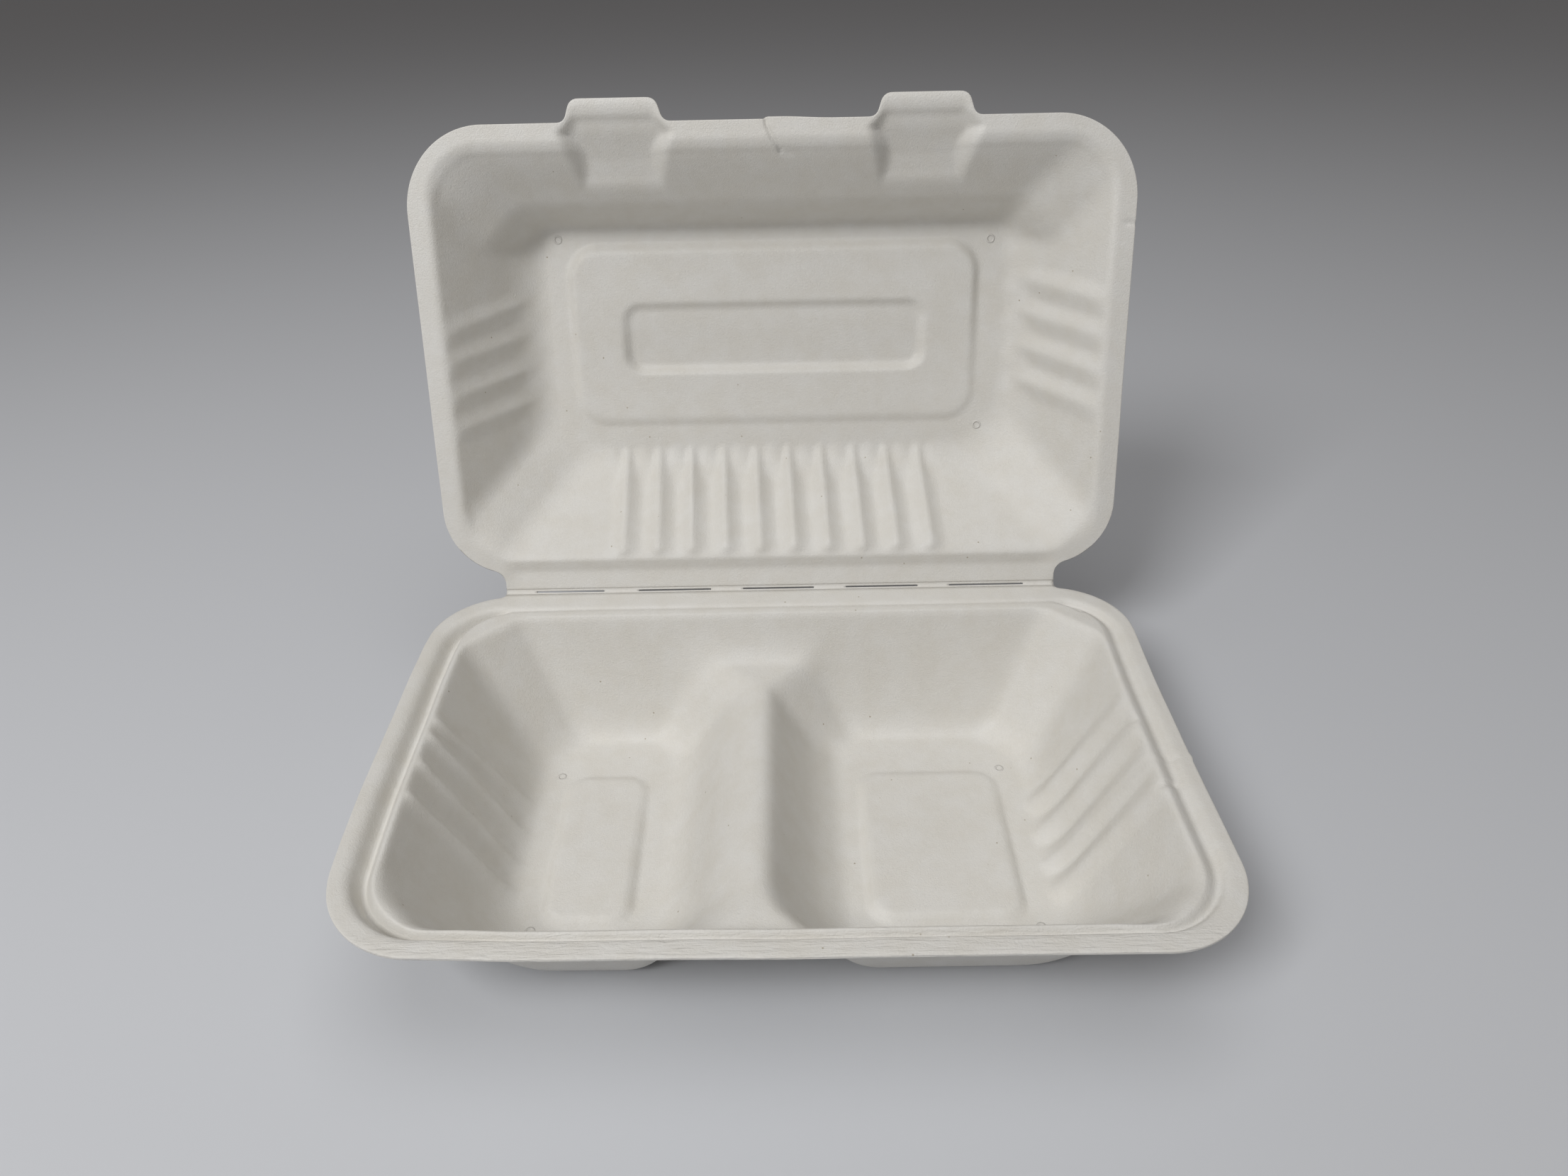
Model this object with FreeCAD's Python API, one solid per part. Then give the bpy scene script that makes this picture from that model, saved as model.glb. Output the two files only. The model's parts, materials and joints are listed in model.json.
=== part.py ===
"""Hinged two-compartment food container, pressed from moulded sugar-cane fibre.

One thin sheet is pressed into a base tray and a lid that share a fold. Both halves are drawn
in the same local frame: X runs along the fold, Y runs away from the fold over the half's own
opening, and Z = 0 is the face on which the two rims meet, with every hollow below it. The
base is then turned half round about Z, and the lid is swung up about the fold.

A half is the trimmed rim plate with the underside of each hollow added and the upper side
cut away. Both sides come from the same functions: skin = 0 draws the upper side, and
skin = the sheet's thickness draws the underside.
"""
import FreeCAD
import Part
import math
import os
from collections import namedtuple

Vec = FreeCAD.Vector
RIGHT = Vec(1, 0, 0)
AWAY = Vec(0, 1, 0)
UP = Vec(0, 0, 1)
SIN_45 = math.sqrt(0.5)
ROUND_CUT = 2 - math.sqrt(2)
TOLERANCE = 1e-3

# An outline is an oblong, given by its four straight sides, whose corners are cut at 45
# degrees. The edges of the cut are blended later: with a cut of ROUND_CUT times the blend,
# nothing of the cut is left and the corner is plain round.
Outline = namedtuple("Outline", "left right near far near_cut far_cut")
# A tub is a hollow with sloping walls between its outlines at the rim and at the floor.
Tub = namedtuple("Tub", "rim floor depth")

# ---------------------------------------------------------------- driving dimensions, mm
# sheet and fold
BASE_SHEET = 1.0
LID_SHEET = 0.6
OPEN_ANGLE = 107.0
FOLD_GAP = 0.3
RIM_GAP = 0.3
NECK_HALF_WIDTH = 96.5
SLIT_COUNT = 5
SLIT_LENGTH = 25.2
SLIT_PITCH = 36.7
SLIT_WIDTH = 1.0

# trimmed edge
TRIM_HALF_LENGTH = 115.8
TRIM_DEPTH = 152.0
TRIM_FRONT_RADIUS = 26.0
TRIM_REAR_RADIUS = 22.0
BASE_SHOULDER = 2.5
LID_SHOULDER = 7.0
BASE_NECK_RADIUS = 2.0
LID_NECK_RADIUS = 5.0

# base rim, from the flat flange inwards: groove, bead, wall
BASE_FLANGE = 2.8
BASE_FRONT_FLANGE = 4.7
BASE_REAR_FLANGE = 8.0
GROOVE_DEPTH = 2.2
GROOVE_SIDE_WIDTH = 7.4
GROOVE_FRONT_WIDTH = 4.0
GROOVE_REAR_WIDTH = 4.4
GROOVE_FLOOR = 1.0
BEAD_WIDTH = 2.4
BEAD_ROUND = 1.0

# base tray
BASE_DEPTH = 42.0
BASE_SIDE_SLOPE = 21.0
BASE_REAR_SLOPE = 14.0
BASE_FRONT_SLOPE = 16.0
BASE_CUT = 12.0
BASE_BLEND = 13.0
BASE_FLOOR_ROUND = 6.0

# divider between the two compartments, to the left as seen from the front
DIVIDER_OFFSET = 8.5
DIVIDER_TOP = 15.0
DIVIDER_CREST_HALF = 6.0
DIVIDER_FOOT_HALF = 22.5
DIVIDER_CREST_ROUND = 5.0

# lid
LID_FLANGE = 5.3
LID_FRONT_FLANGE = 4.7
LID_REAR_FLANGE = 7.3
LEDGE_DEPTH = 2.0
LEDGE_WIDTH = 3.6
LID_DEPTH = 33.0
LID_SIDE_SLOPE = 20.0
LID_REAR_SLOPE = 28.0
LID_FRONT_SLOPE = 17.0
LID_CUT = 12.0
LID_BLEND = 13.0
LID_FLOOR_ROUND = 9.0

# flutes pressed inwards into the walls: flush near the rim, proud at the floor
FLUTE_START = 4.0
FLUTE_RADIUS = 3.6
FLUTE_REACH = 2.6
SIDE_FLUTES = 4
SIDE_FLUTE_PITCH = 11.4
BACK_FLUTES = 10
BACK_FLUTE_PITCH = 12.0

# raised pad in the floor of each compartment, and the two-step panel in the lid
PAD_HEIGHT = 1.6
PAD_BEVEL = 1.4
PAD_MARGIN = 20.0
PAD_FRONT_MARGIN = 13.0
PAD_SIDE_MARGIN = 11.0
PAD_CORNER = 9.0
PANEL_LENGTH = 147.0
PANEL_DEPTH = 64.0
PANEL_CORNER = 12.0
PANEL_HEIGHT = 1.3
INSET_LENGTH = 108.0
INSET_DEPTH = 25.5
INSET_CORNER = 8.0
INSET_SINK = 1.5
PANEL_BEVEL = 1.3

# two lift tabs on the lid and the pockets behind them
TAB_CENTRE = 48.5
TAB_ROOT_HALF = 15.0
TAB_TIP_HALF = 13.6
TAB_REACH = 6.8
TAB_TIP_ROUND = 4.0
TAB_ROOT_ROUND = 3.0
POCKET_HALF = 13.0
POCKET_LIP = 2.4
POCKET_STEP = 2.6
POCKET_STEP_RUN = 1.9
POCKET_LEDGE_RUN = 4.2
POCKET_LEDGE_DROP = 1.4
POCKET_FOOT_DEPTH = 15.0
POCKET_TAPER = 3.0

ABOVE = 2.0


# ---------------------------------------------------------------- outlines
def line(start, end):
    """Straight edge."""
    return Part.LineSegment(start, end).toShape()


def arc(start, middle, end):
    """Round edge through three points."""
    return Part.Arc(start, middle, end).toShape()


def cut_corners(outline, height):
    """The eight corners of an outline at a height, in order round it."""
    left, right, near, far, near_cut, far_cut = outline
    return [
        Vec(right - near_cut, near, height),
        Vec(right, near + near_cut, height),
        Vec(right, far - far_cut, height),
        Vec(right - far_cut, far, height),
        Vec(left + far_cut, far, height),
        Vec(left, far - far_cut, height),
        Vec(left, near + near_cut, height),
        Vec(left + near_cut, near, height),
    ]


def flat_face(points):
    """Flat face inside a ring of points."""
    return Part.Face(Part.makePolygon(points + points[:1]))


def frustum(bottom, bottom_height, top, top_height, blend):
    """Flat-sided block between two outlines, with its upright edges blended."""
    low = cut_corners(bottom, bottom_height)
    high = cut_corners(top, top_height)
    low_next = low[1:] + low[:1]
    high_next = high[1:] + high[:1]
    sides = [flat_face(list(ring)) for ring in zip(low, low_next, high_next, high)]
    block = Part.Solid(Part.Shell(sides + [flat_face(low), flat_face(high)]))
    if block.Volume < 0:
        block = block.reversed()
    upright = [e for e in block.Edges if not lies_at(e, bottom_height) and not lies_at(e, top_height)]
    return block.makeFillet(blend, upright)


def round_wire(outline, height):
    """Closed wire round an outline whose corners are plain round."""
    left, right, near, far, near_cut, far_cut = outline
    r, q = near_cut / ROUND_CUT, far_cut / ROUND_CUT
    s, t = r * (1 - SIN_45), q * (1 - SIN_45)
    z = height
    edges = [
        line(Vec(left + r, near, z), Vec(right - r, near, z)),
        arc(Vec(right - r, near, z), Vec(right - s, near + s, z), Vec(right, near + r, z)),
        line(Vec(right, near + r, z), Vec(right, far - q, z)),
        arc(Vec(right, far - q, z), Vec(right - t, far - t, z), Vec(right - q, far, z)),
        line(Vec(right - q, far, z), Vec(left + q, far, z)),
        arc(Vec(left + q, far, z), Vec(left + t, far - t, z), Vec(left, far - q, z)),
        line(Vec(left, far - q, z), Vec(left, near + r, z)),
        arc(Vec(left, near + r, z), Vec(left + s, near + s, z), Vec(left + r, near, z)),
    ]
    return Part.Wire(edges)


def round_block(bottom, bottom_height, top, top_height):
    """Block between two outlines whose corners are plain round."""
    wires = [round_wire(bottom, bottom_height), round_wire(top, top_height)]
    return Part.makeLoft(wires, True, True)


def round_outline(left, right, near, far, radius):
    """Outline with plain round corners."""
    cut = ROUND_CUT * radius
    return Outline(left, right, near, far, cut, cut)


def inset(outline, side, near, far, cut_change=0.0):
    """Outline moved inwards by its own amount at the sides, near the fold and in front."""
    return Outline(
        outline.left + side,
        outline.right - side,
        outline.near + near,
        outline.far - far,
        outline.near_cut + cut_change,
        outline.far_cut + cut_change,
    )


# ---------------------------------------------------------------- tubs
def growth(slope, depth, skin):
    """How far a wall moves outwards, in plan, when the sheet's other side is drawn."""
    return skin * math.hypot(slope, depth) / depth


def cut_at(rim_cut, floor_cut, side, end, depth, share, skin):
    """Size of a corner's cut at a share of the depth, with the facet moved by the skin too."""
    facet_slope = (side + end + floor_cut - rim_cut) / math.sqrt(2)
    straight = growth(side, depth, skin) + growth(end, depth, skin)
    facet = math.sqrt(2) * growth(facet_slope, depth, skin)
    return rim_cut + (floor_cut - rim_cut) * share + straight - facet


def outline_at(tub, height, skin):
    """Outline of a tub's wall at a height, moved outwards by the skin."""
    rim, floor, depth = tub
    share = -height / depth
    side = rim.right - floor.right
    near = floor.near - rim.near
    far = rim.far - floor.far
    return Outline(
        rim.left + side * share - growth(side, depth, skin),
        rim.right - side * share + growth(side, depth, skin),
        rim.near + near * share - growth(near, depth, skin),
        rim.far - far * share + growth(far, depth, skin),
        cut_at(rim.near_cut, floor.near_cut, side, near, depth, share, skin),
        cut_at(rim.far_cut, floor.far_cut, side, far, depth, share, skin),
    )


def tub_solid(tub, skin, top, bottom, blend):
    """Solid that fills a tub between two heights, the edges of its facets blended."""
    low = outline_at(tub, bottom, skin)
    high = outline_at(tub, top, skin)
    return frustum(low, bottom, high, top, blend + skin)


def round_tub_solid(tub, skin, top, bottom):
    """Solid that fills a tub with plain round corners between two heights."""
    low = outline_at(tub, bottom, skin)
    high = outline_at(tub, top, skin)
    return round_block(low, bottom, high, top)


def lies_at(edge, height):
    """True if both ends of an edge are at a height."""
    return all(abs(v.Point.z - height) < TOLERANCE for v in edge.Vertexes)


def floor_edges(solid, height):
    """Edges of a solid that lie in its floor."""
    return [e for e in solid.Edges if lies_at(e, height)]


def top_of(skin):
    """Height at which a side of the sheet is cut off: clear above the rim, or level with it."""
    return 0.0 if skin else ABOVE


# ---------------------------------------------------------------- details shared by both halves
def plateau(outline, height_from, height_to, bevel):
    """Low block with bevelled sides, used for raised pads and sunk panels."""
    end = inset(outline, bevel, bevel, bevel, -ROUND_CUT * bevel)
    return round_block(outline, height_from, end, height_to)


def panel_shift(bevel, height, skin):
    """How far a bevel moves in plan on the underside of the sheet."""
    return skin * math.tan(0.5 * math.atan2(height, bevel))


def raised_pad(outline, floor, height, bevel, skin):
    """Block to take out of a hollow so that its floor rises in a pad."""
    shift = panel_shift(bevel, height, skin)
    foot = inset(outline, shift, shift, shift)
    return plateau(foot, floor - skin, floor - skin + height, bevel)


def sunk_pad(outline, floor, height, bevel, skin):
    """Block to add to a hollow so that its floor sinks in a panel."""
    shift = -panel_shift(bevel, height, skin)
    mouth = inset(outline, shift, shift, shift)
    return plateau(mouth, floor - skin, floor - skin - height, bevel)


def flute(rim_point, floor_point, outward, skin):
    """Round rib down a wall: flush with it at FLUTE_START, proud by FLUTE_REACH at the floor."""
    share = FLUTE_START / -floor_point.z
    start = rim_point + (floor_point - rim_point) * share + outward * FLUTE_RADIUS
    end = floor_point + outward * (FLUTE_RADIUS - FLUTE_REACH)
    run = end - start
    length = run.Length
    run.normalize()
    overrun = 4 * FLUTE_RADIUS
    return Part.makeCylinder(FLUTE_RADIUS - skin, length + 2 * overrun, start - run * overrun, run)


def spread(count, pitch, centre):
    """Evenly spaced places about a centre."""
    first = centre - pitch * (count - 1) / 2
    return [first + pitch * n for n in range(count)]


def side_flutes(tub, skin):
    """Flutes of both side walls."""
    rim, floor, depth = tub
    slope = rim.right - floor.right
    centre = (rim.near + rim.far) / 2
    ribs = []
    for side in (-1, 1):
        outward = Vec(side * depth, 0, -slope).normalize()
        for y in spread(SIDE_FLUTES, SIDE_FLUTE_PITCH, centre):
            rim_point = Vec(side * rim.right, y, 0)
            floor_point = Vec(side * floor.right, y, -depth)
            ribs.append(flute(rim_point, floor_point, outward, skin))
    return ribs


def back_flutes(tub, skin):
    """Flutes of the wall next to the fold."""
    rim, floor, depth = tub
    slope = floor.near - rim.near
    outward = Vec(0, -depth, -slope).normalize()
    ribs = []
    for x in spread(BACK_FLUTES, BACK_FLUTE_PITCH, 0.0):
        rim_point = Vec(x, rim.near, 0)
        floor_point = Vec(x, floor.near, -depth)
        ribs.append(flute(rim_point, floor_point, outward, skin))
    return ribs


# ---------------------------------------------------------------- trimmed rim plate
def rim_plate(shoulder, neck_radius, sheet):
    """Flat plate of the trimmed edge, with a neck at each end of the fold."""
    fold = FOLD_GAP / 2
    rear = TRIM_REAR_RADIUS
    front = TRIM_FRONT_RADIUS
    rear_centre = Vec(TRIM_HALF_LENGTH - rear, shoulder + rear, 0)
    front_centre = Vec(TRIM_HALF_LENGTH - front, TRIM_DEPTH - front, 0)
    across = NECK_HALF_WIDTH + neck_radius - rear_centre.x
    rise = math.sqrt((rear + neck_radius) ** 2 - across ** 2)
    neck_centre = Vec(NECK_HALF_WIDTH + neck_radius, rear_centre.y - rise, 0)
    toward_neck = (neck_centre - rear_centre).normalize()
    fold_end = Vec(NECK_HALF_WIDTH, fold, 0)
    neck_start = Vec(NECK_HALF_WIDTH, neck_centre.y, 0)
    neck_end = rear_centre + toward_neck * rear
    neck_chord = ((neck_start + neck_end) * 0.5 - neck_centre).normalize()
    rear_end = rear_centre + RIGHT * rear
    rear_chord = ((neck_end + rear_end) * 0.5 - rear_centre).normalize()
    front_start = front_centre + RIGHT * front
    front_end = front_centre + AWAY * front
    diagonal = (RIGHT + AWAY).normalize()
    half = [
        line(fold_end, neck_start),
        arc(neck_start, neck_centre + neck_chord * neck_radius, neck_end),
        arc(neck_end, rear_centre + rear_chord * rear, rear_end),
        line(rear_end, front_start),
        arc(front_start, front_centre + diagonal * front, front_end),
        line(front_end, Vec(0, TRIM_DEPTH, 0)),
    ]
    half.append(line(Vec(0, fold, 0), fold_end))
    mirrored = [edge.mirror(Vec(0, 0, 0), RIGHT) for edge in half]
    wire = Part.Wire(Part.__sortEdges__(half + mirrored))
    return Part.Face(wire).extrude(UP * -sheet)


def slits(sheet):
    """Half of each slit that weakens the fold."""
    width = SLIT_WIDTH / 2
    found = []
    for x in spread(SLIT_COUNT, SLIT_PITCH, 0.0):
        corner = Vec(x - SLIT_LENGTH / 2, -width, -sheet - ABOVE)
        found.append(Part.makeBox(SLIT_LENGTH, 2 * width, sheet + 2 * ABOVE, corner))
    return found


# ---------------------------------------------------------------- base tray
def base_outlines():
    """Flange edge, groove floor, bead and wall outlines of the base rim, from outside in."""
    edge = round_outline(
        -TRIM_HALF_LENGTH + BASE_FLANGE,
        TRIM_HALF_LENGTH - BASE_FLANGE,
        BASE_REAR_FLANGE,
        TRIM_DEPTH - BASE_FRONT_FLANGE,
        TRIM_FRONT_RADIUS - BASE_FLANGE,
    )
    side = (GROOVE_SIDE_WIDTH - GROOVE_FLOOR) / 2
    front = (GROOVE_FRONT_WIDTH - GROOVE_FLOOR) / 2
    rear = (GROOVE_REAR_WIDTH - GROOVE_FLOOR) / 2
    down = inset(edge, side, rear, front, -ROUND_CUT * front)
    up_foot = inset(down, GROOVE_FLOOR, GROOVE_FLOOR, GROOVE_FLOOR)
    crest = inset(up_foot, side, rear, front, -ROUND_CUT * front)
    return edge, down, up_foot, crest


def base_tub():
    """Hollow of the base tray, whose wall starts at the bead."""
    crest = base_outlines()[-1]
    width = BEAD_WIDTH
    wall = Outline(
        crest.left + width,
        crest.right - width,
        crest.near + width,
        crest.far - width,
        BASE_CUT,
        BASE_CUT,
    )
    floor = inset(wall, BASE_SIDE_SLOPE, BASE_REAR_SLOPE, BASE_FRONT_SLOPE)
    return Tub(wall, floor, BASE_DEPTH)


def groove(skin):
    """Ring-shaped groove between the flange and the bead."""
    edge, down, up_foot, crest = base_outlines()
    bottom = -GROOVE_DEPTH - skin
    outer = round_tub_solid(Tub(edge, down, GROOVE_DEPTH), skin, top_of(skin), bottom)
    core = round_tub_solid(Tub(crest, up_foot, GROOVE_DEPTH), -skin, top_of(skin), bottom)
    return outer.cut(core)


def divider(skin):
    """Ridge between the compartments, drawn as the block that it takes out of the hollow."""
    rise = BASE_DEPTH - DIVIDER_TOP
    slope = (DIVIDER_FOOT_HALF - DIVIDER_CREST_HALF) / rise
    thinner = growth(DIVIDER_FOOT_HALF - DIVIDER_CREST_HALF, rise, skin)
    top = -DIVIDER_TOP - skin
    bottom = -BASE_DEPTH - skin - ABOVE
    crest = DIVIDER_CREST_HALF + skin * slope - thinner
    foot = crest + slope * (top - bottom)
    corners = [
        Vec(DIVIDER_OFFSET - foot, 0, bottom),
        Vec(DIVIDER_OFFSET + foot, 0, bottom),
        Vec(DIVIDER_OFFSET + crest, 0, top),
        Vec(DIVIDER_OFFSET - crest, 0, top),
    ]
    block = flat_face(corners).extrude(AWAY * (TRIM_DEPTH + ABOVE))
    crest_edges = [e for e in floor_edges(block, top) if e.Length > TRIM_DEPTH]
    return block.makeFillet(DIVIDER_CREST_ROUND - skin, crest_edges)


def valley_edges(hollow, floor):
    """Edges where the divider and the walls meet the floor and each other."""
    found = floor_edges(hollow, floor)
    for edge in hollow.Edges:
        ends = [v.Point for v in edge.Vertexes]
        below = all(p.z < -GROOVE_DEPTH - ABOVE for p in ends)
        short = abs(ends[0].y - ends[-1].y) < TRIM_DEPTH / 2
        if below and short and not lies_at(edge, floor):
            found.append(edge)
    return found


def base_pads(skin):
    """Raised pads in the floors of the two compartments."""
    floor = base_tub().floor
    near = floor.near + PAD_MARGIN
    far = floor.far - PAD_FRONT_MARGIN
    spans = [
        (floor.left + PAD_SIDE_MARGIN, DIVIDER_OFFSET - DIVIDER_FOOT_HALF - PAD_SIDE_MARGIN),
        (DIVIDER_OFFSET + DIVIDER_FOOT_HALF + PAD_SIDE_MARGIN, floor.right - PAD_SIDE_MARGIN),
    ]
    pads = []
    for left, right in spans:
        outline = round_outline(left, right, near, far, PAD_CORNER)
        pads.append(raised_pad(outline, -BASE_DEPTH, PAD_HEIGHT, PAD_BEVEL, skin))
    return pads


def base_hollow(skin):
    """One side of the sheet in the tray: walls, divider, pads and flutes."""
    tub = base_tub()
    floor = -BASE_DEPTH - skin
    walls = tub_solid(tub, skin, top_of(skin), floor, BASE_BLEND)
    hollow = walls.cut(divider(skin))
    hollow = hollow.makeFillet(BASE_FLOOR_ROUND + skin, valley_edges(hollow, floor))
    return hollow.cut(base_pads(skin) + side_flutes(tub, skin))


def bead_edges(sheet):
    """Sharp edges of the groove and the bead on the rim's face."""
    side = TRIM_HALF_LENGTH - BASE_FLANGE + TOLERANCE
    near = BASE_REAR_FLANGE - TOLERANCE
    far = TRIM_DEPTH - BASE_FRONT_FLANGE + TOLERANCE
    found = []
    for edge in floor_edges(sheet, 0.0):
        box = edge.BoundBox
        if box.XMin > -side and box.XMax < side and box.YMin > near and box.YMax < far:
            found.append(edge)
    return found


def base_tray():
    """The tray, in its local frame."""
    plate = rim_plate(BASE_SHOULDER, BASE_NECK_RADIUS, BASE_SHEET)
    sheet = plate.fuse([groove(BASE_SHEET), base_hollow(BASE_SHEET)])
    sheet = sheet.cut([groove(0.0), base_hollow(0.0)] + slits(BASE_SHEET))
    sheet = sheet.removeSplitter().Solids[0]
    return sheet.makeFillet(BEAD_ROUND, bead_edges(sheet))


# ---------------------------------------------------------------- lid
def lid_tubs():
    """The shallow ledge inside the lid's flange, and the hollow below it."""
    edge = round_outline(
        -TRIM_HALF_LENGTH + LID_FLANGE,
        TRIM_HALF_LENGTH - LID_FLANGE,
        LID_REAR_FLANGE,
        TRIM_DEPTH - LID_FRONT_FLANGE,
        TRIM_FRONT_RADIUS - LID_FLANGE,
    )
    ledge = inset(edge, LEDGE_WIDTH, LEDGE_WIDTH, LEDGE_WIDTH, -ROUND_CUT * LEDGE_WIDTH)
    wall = Outline(ledge.left, ledge.right, ledge.near, ledge.far, LID_CUT, LID_CUT)
    floor = Outline(
        wall.left + LID_SIDE_SLOPE,
        wall.right - LID_SIDE_SLOPE,
        wall.near + LID_REAR_SLOPE,
        wall.far - LID_FRONT_SLOPE,
        LID_CUT,
        LID_CUT,
    )
    return Tub(edge, ledge, LEDGE_DEPTH), Tub(wall, floor, LID_DEPTH)


def lid_panel(skin):
    """Panel that rises into the lid, with a sunk panel inside it."""
    floor = lid_tubs()[1].floor
    centre = (floor.near + floor.far) / 2
    outer = round_outline(
        -PANEL_LENGTH / 2,
        PANEL_LENGTH / 2,
        centre - PANEL_DEPTH / 2,
        centre + PANEL_DEPTH / 2,
        PANEL_CORNER,
    )
    inner = round_outline(
        -INSET_LENGTH / 2,
        INSET_LENGTH / 2,
        centre - INSET_DEPTH / 2,
        centre + INSET_DEPTH / 2,
        INSET_CORNER,
    )
    raised = raised_pad(outer, -LID_DEPTH, PANEL_HEIGHT, PANEL_BEVEL, skin)
    sunk = sunk_pad(inner, PANEL_HEIGHT - LID_DEPTH, INSET_SINK, PANEL_BEVEL, skin)
    return raised, sunk


def pocket_profile():
    """Section of a tab's pocket, from the lip inwards and down to the wall."""
    lip = TRIM_DEPTH + POCKET_LIP
    step = lip - POCKET_STEP_RUN
    ledge = step - POCKET_LEDGE_RUN
    ledge_drop = POCKET_STEP + POCKET_LEDGE_DROP
    foot = ledge - (POCKET_FOOT_DEPTH - ledge_drop)
    return [
        Vec(0, lip + ABOVE, ABOVE),
        Vec(0, lip, 0),
        Vec(0, step, -POCKET_STEP),
        Vec(0, ledge, -ledge_drop),
        Vec(0, foot, -POCKET_FOOT_DEPTH),
        Vec(0, foot - POCKET_FOOT_DEPTH, -POCKET_FOOT_DEPTH),
        Vec(0, foot - POCKET_FOOT_DEPTH, ABOVE),
    ]


def tab_pocket(centre, skin):
    """Pocket in the lid's front wall behind one tab, with flanks that close in as it deepens."""
    section = flat_face(pocket_profile())
    if skin:
        section = section.makeOffset2D(skin, 2)
    wide = POCKET_HALF + ABOVE + skin
    run = section.extrude(RIGHT * 2 * wide)
    run.translate(RIGHT * (centre - wide))
    taper = POCKET_TAPER / POCKET_FOOT_DEPTH
    side = growth(POCKET_TAPER, POCKET_FOOT_DEPTH, skin)
    deep = POCKET_FOOT_DEPTH + ABOVE
    top = top_of(skin)
    half_top = POCKET_HALF + taper * top + side
    half_deep = POCKET_HALF - taper * deep + side
    flanks = [
        Vec(centre - half_top, 0, top),
        Vec(centre - half_deep, 0, -deep),
        Vec(centre + half_deep, 0, -deep),
        Vec(centre + half_top, 0, top),
    ]
    wedge = flat_face(flanks).extrude(AWAY * 2 * TRIM_DEPTH)
    return run.common(wedge)


def lid_hollow(skin):
    """One side of the sheet in the lid: ledge, walls, panels, flutes and pockets."""
    ledge, tub = lid_tubs()
    floor = -LID_DEPTH - skin
    hollow = tub_solid(tub, skin, top_of(skin), floor, LID_BLEND)
    hollow = hollow.makeFillet(LID_FLOOR_ROUND + skin, floor_edges(hollow, floor))
    raised, sunk = lid_panel(skin)
    hollow = hollow.cut([raised] + side_flutes(tub, skin) + back_flutes(tub, skin))
    step = round_tub_solid(ledge, skin, top_of(skin), -LEDGE_DEPTH - skin)
    pockets = [tab_pocket(side * TAB_CENTRE, skin) for side in (-1, 1)]
    return hollow.fuse([sunk, step] + pockets)


def tab(centre):
    """Flat lift tab on the front of the lid."""
    tip = TRIM_DEPTH + TAB_REACH
    root = TRIM_DEPTH - TAB_ROOT_ROUND
    corners = [
        Vec(centre - TAB_ROOT_HALF, root, 0),
        Vec(centre + TAB_ROOT_HALF, root, 0),
        Vec(centre + TAB_TIP_HALF, tip, 0),
        Vec(centre - TAB_TIP_HALF, tip, 0),
    ]
    plate = flat_face(corners).extrude(UP * -LID_SHEET)
    upright = [e for e in plate.Edges if stands_at(e, tip)]
    return plate.makeFillet(TAB_TIP_ROUND, upright)


def stands_at(edge, y):
    """True if an edge runs through the sheet at a distance from the fold."""
    ends = [v.Point for v in edge.Vertexes]
    level = all(abs(p.y - y) < TOLERANCE for p in ends)
    return level and abs(ends[0].z - ends[-1].z) > TOLERANCE


def lid_plate():
    """Rim plate of the lid with its tabs and their rounded roots."""
    plate = rim_plate(LID_SHOULDER, LID_NECK_RADIUS, LID_SHEET)
    plate = plate.fuse([tab(-TAB_CENTRE), tab(TAB_CENTRE)]).removeSplitter()
    roots = [e for e in plate.Edges if stands_at(e, TRIM_DEPTH) and abs(e.Vertexes[0].X) < 80]
    return plate.makeFillet(TAB_ROOT_ROUND, roots)


def lid():
    """The lid, in its local frame, as it lies when the container is opened out flat."""
    sheet = lid_plate().fuse(lid_hollow(LID_SHEET))
    sheet = sheet.cut([lid_hollow(0.0)] + slits(LID_SHEET))
    return sheet.removeSplitter().Solids[0]


# ---------------------------------------------------------------- assembly
def assembled():
    """Both halves in place, with the fold's axis at the origin."""
    base = base_tray()
    base.translate(UP * (-RIM_GAP / 2))
    base.rotate(Vec(0, 0, 0), UP, 180)
    top = lid()
    top.translate(UP * (-RIM_GAP / 2))
    top.rotate(Vec(0, 0, 0), RIGHT, 180 - OPEN_ANGLE)
    return {"base_tray": base, "lid": top}


def main():
    """Write one file per piece, with the origin under the middle of the open container."""
    pieces = assembled()
    box = Part.makeCompound(list(pieces.values())).optimalBoundingBox(False, False)
    origin = Vec((box.XMin + box.XMax) / 2, (box.YMin + box.YMax) / 2, box.ZMin)
    os.makedirs("parts", exist_ok=True)
    for name, shape in pieces.items():
        shape.translate(-origin)
        shape.exportStep(f"parts/{name}.step")
        print(name, shape.ShapeType, len(shape.Solids), "valid", shape.isValid(), shape.Volume)
    print("fold axis at", -origin)
    print("size", box.XLength, box.YLength, box.ZLength)


main()
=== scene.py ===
"""Looks of a hinged two-compartment food container of moulded sugar-cane fibre.

The tray, the lid and the fold between them are one pressing of wet pulp, so each is made as
one thin sheet: a grid of faces is laid out in rings that follow the rim, its points are
pressed down to the form of the mould, and the sheet is then given its thickness.

Both halves are shaped in one local frame, in millimetres: x runs along the fold, v runs away
from the fold, and the depth counts downwards from the face on which the two rims meet.
"""
import json
import logging
import math
from dataclasses import dataclass, field, replace
from enum import Enum
from typing import Callable

import bmesh
import bpy
import numpy as np
from mathutils import Matrix, Vector


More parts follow.
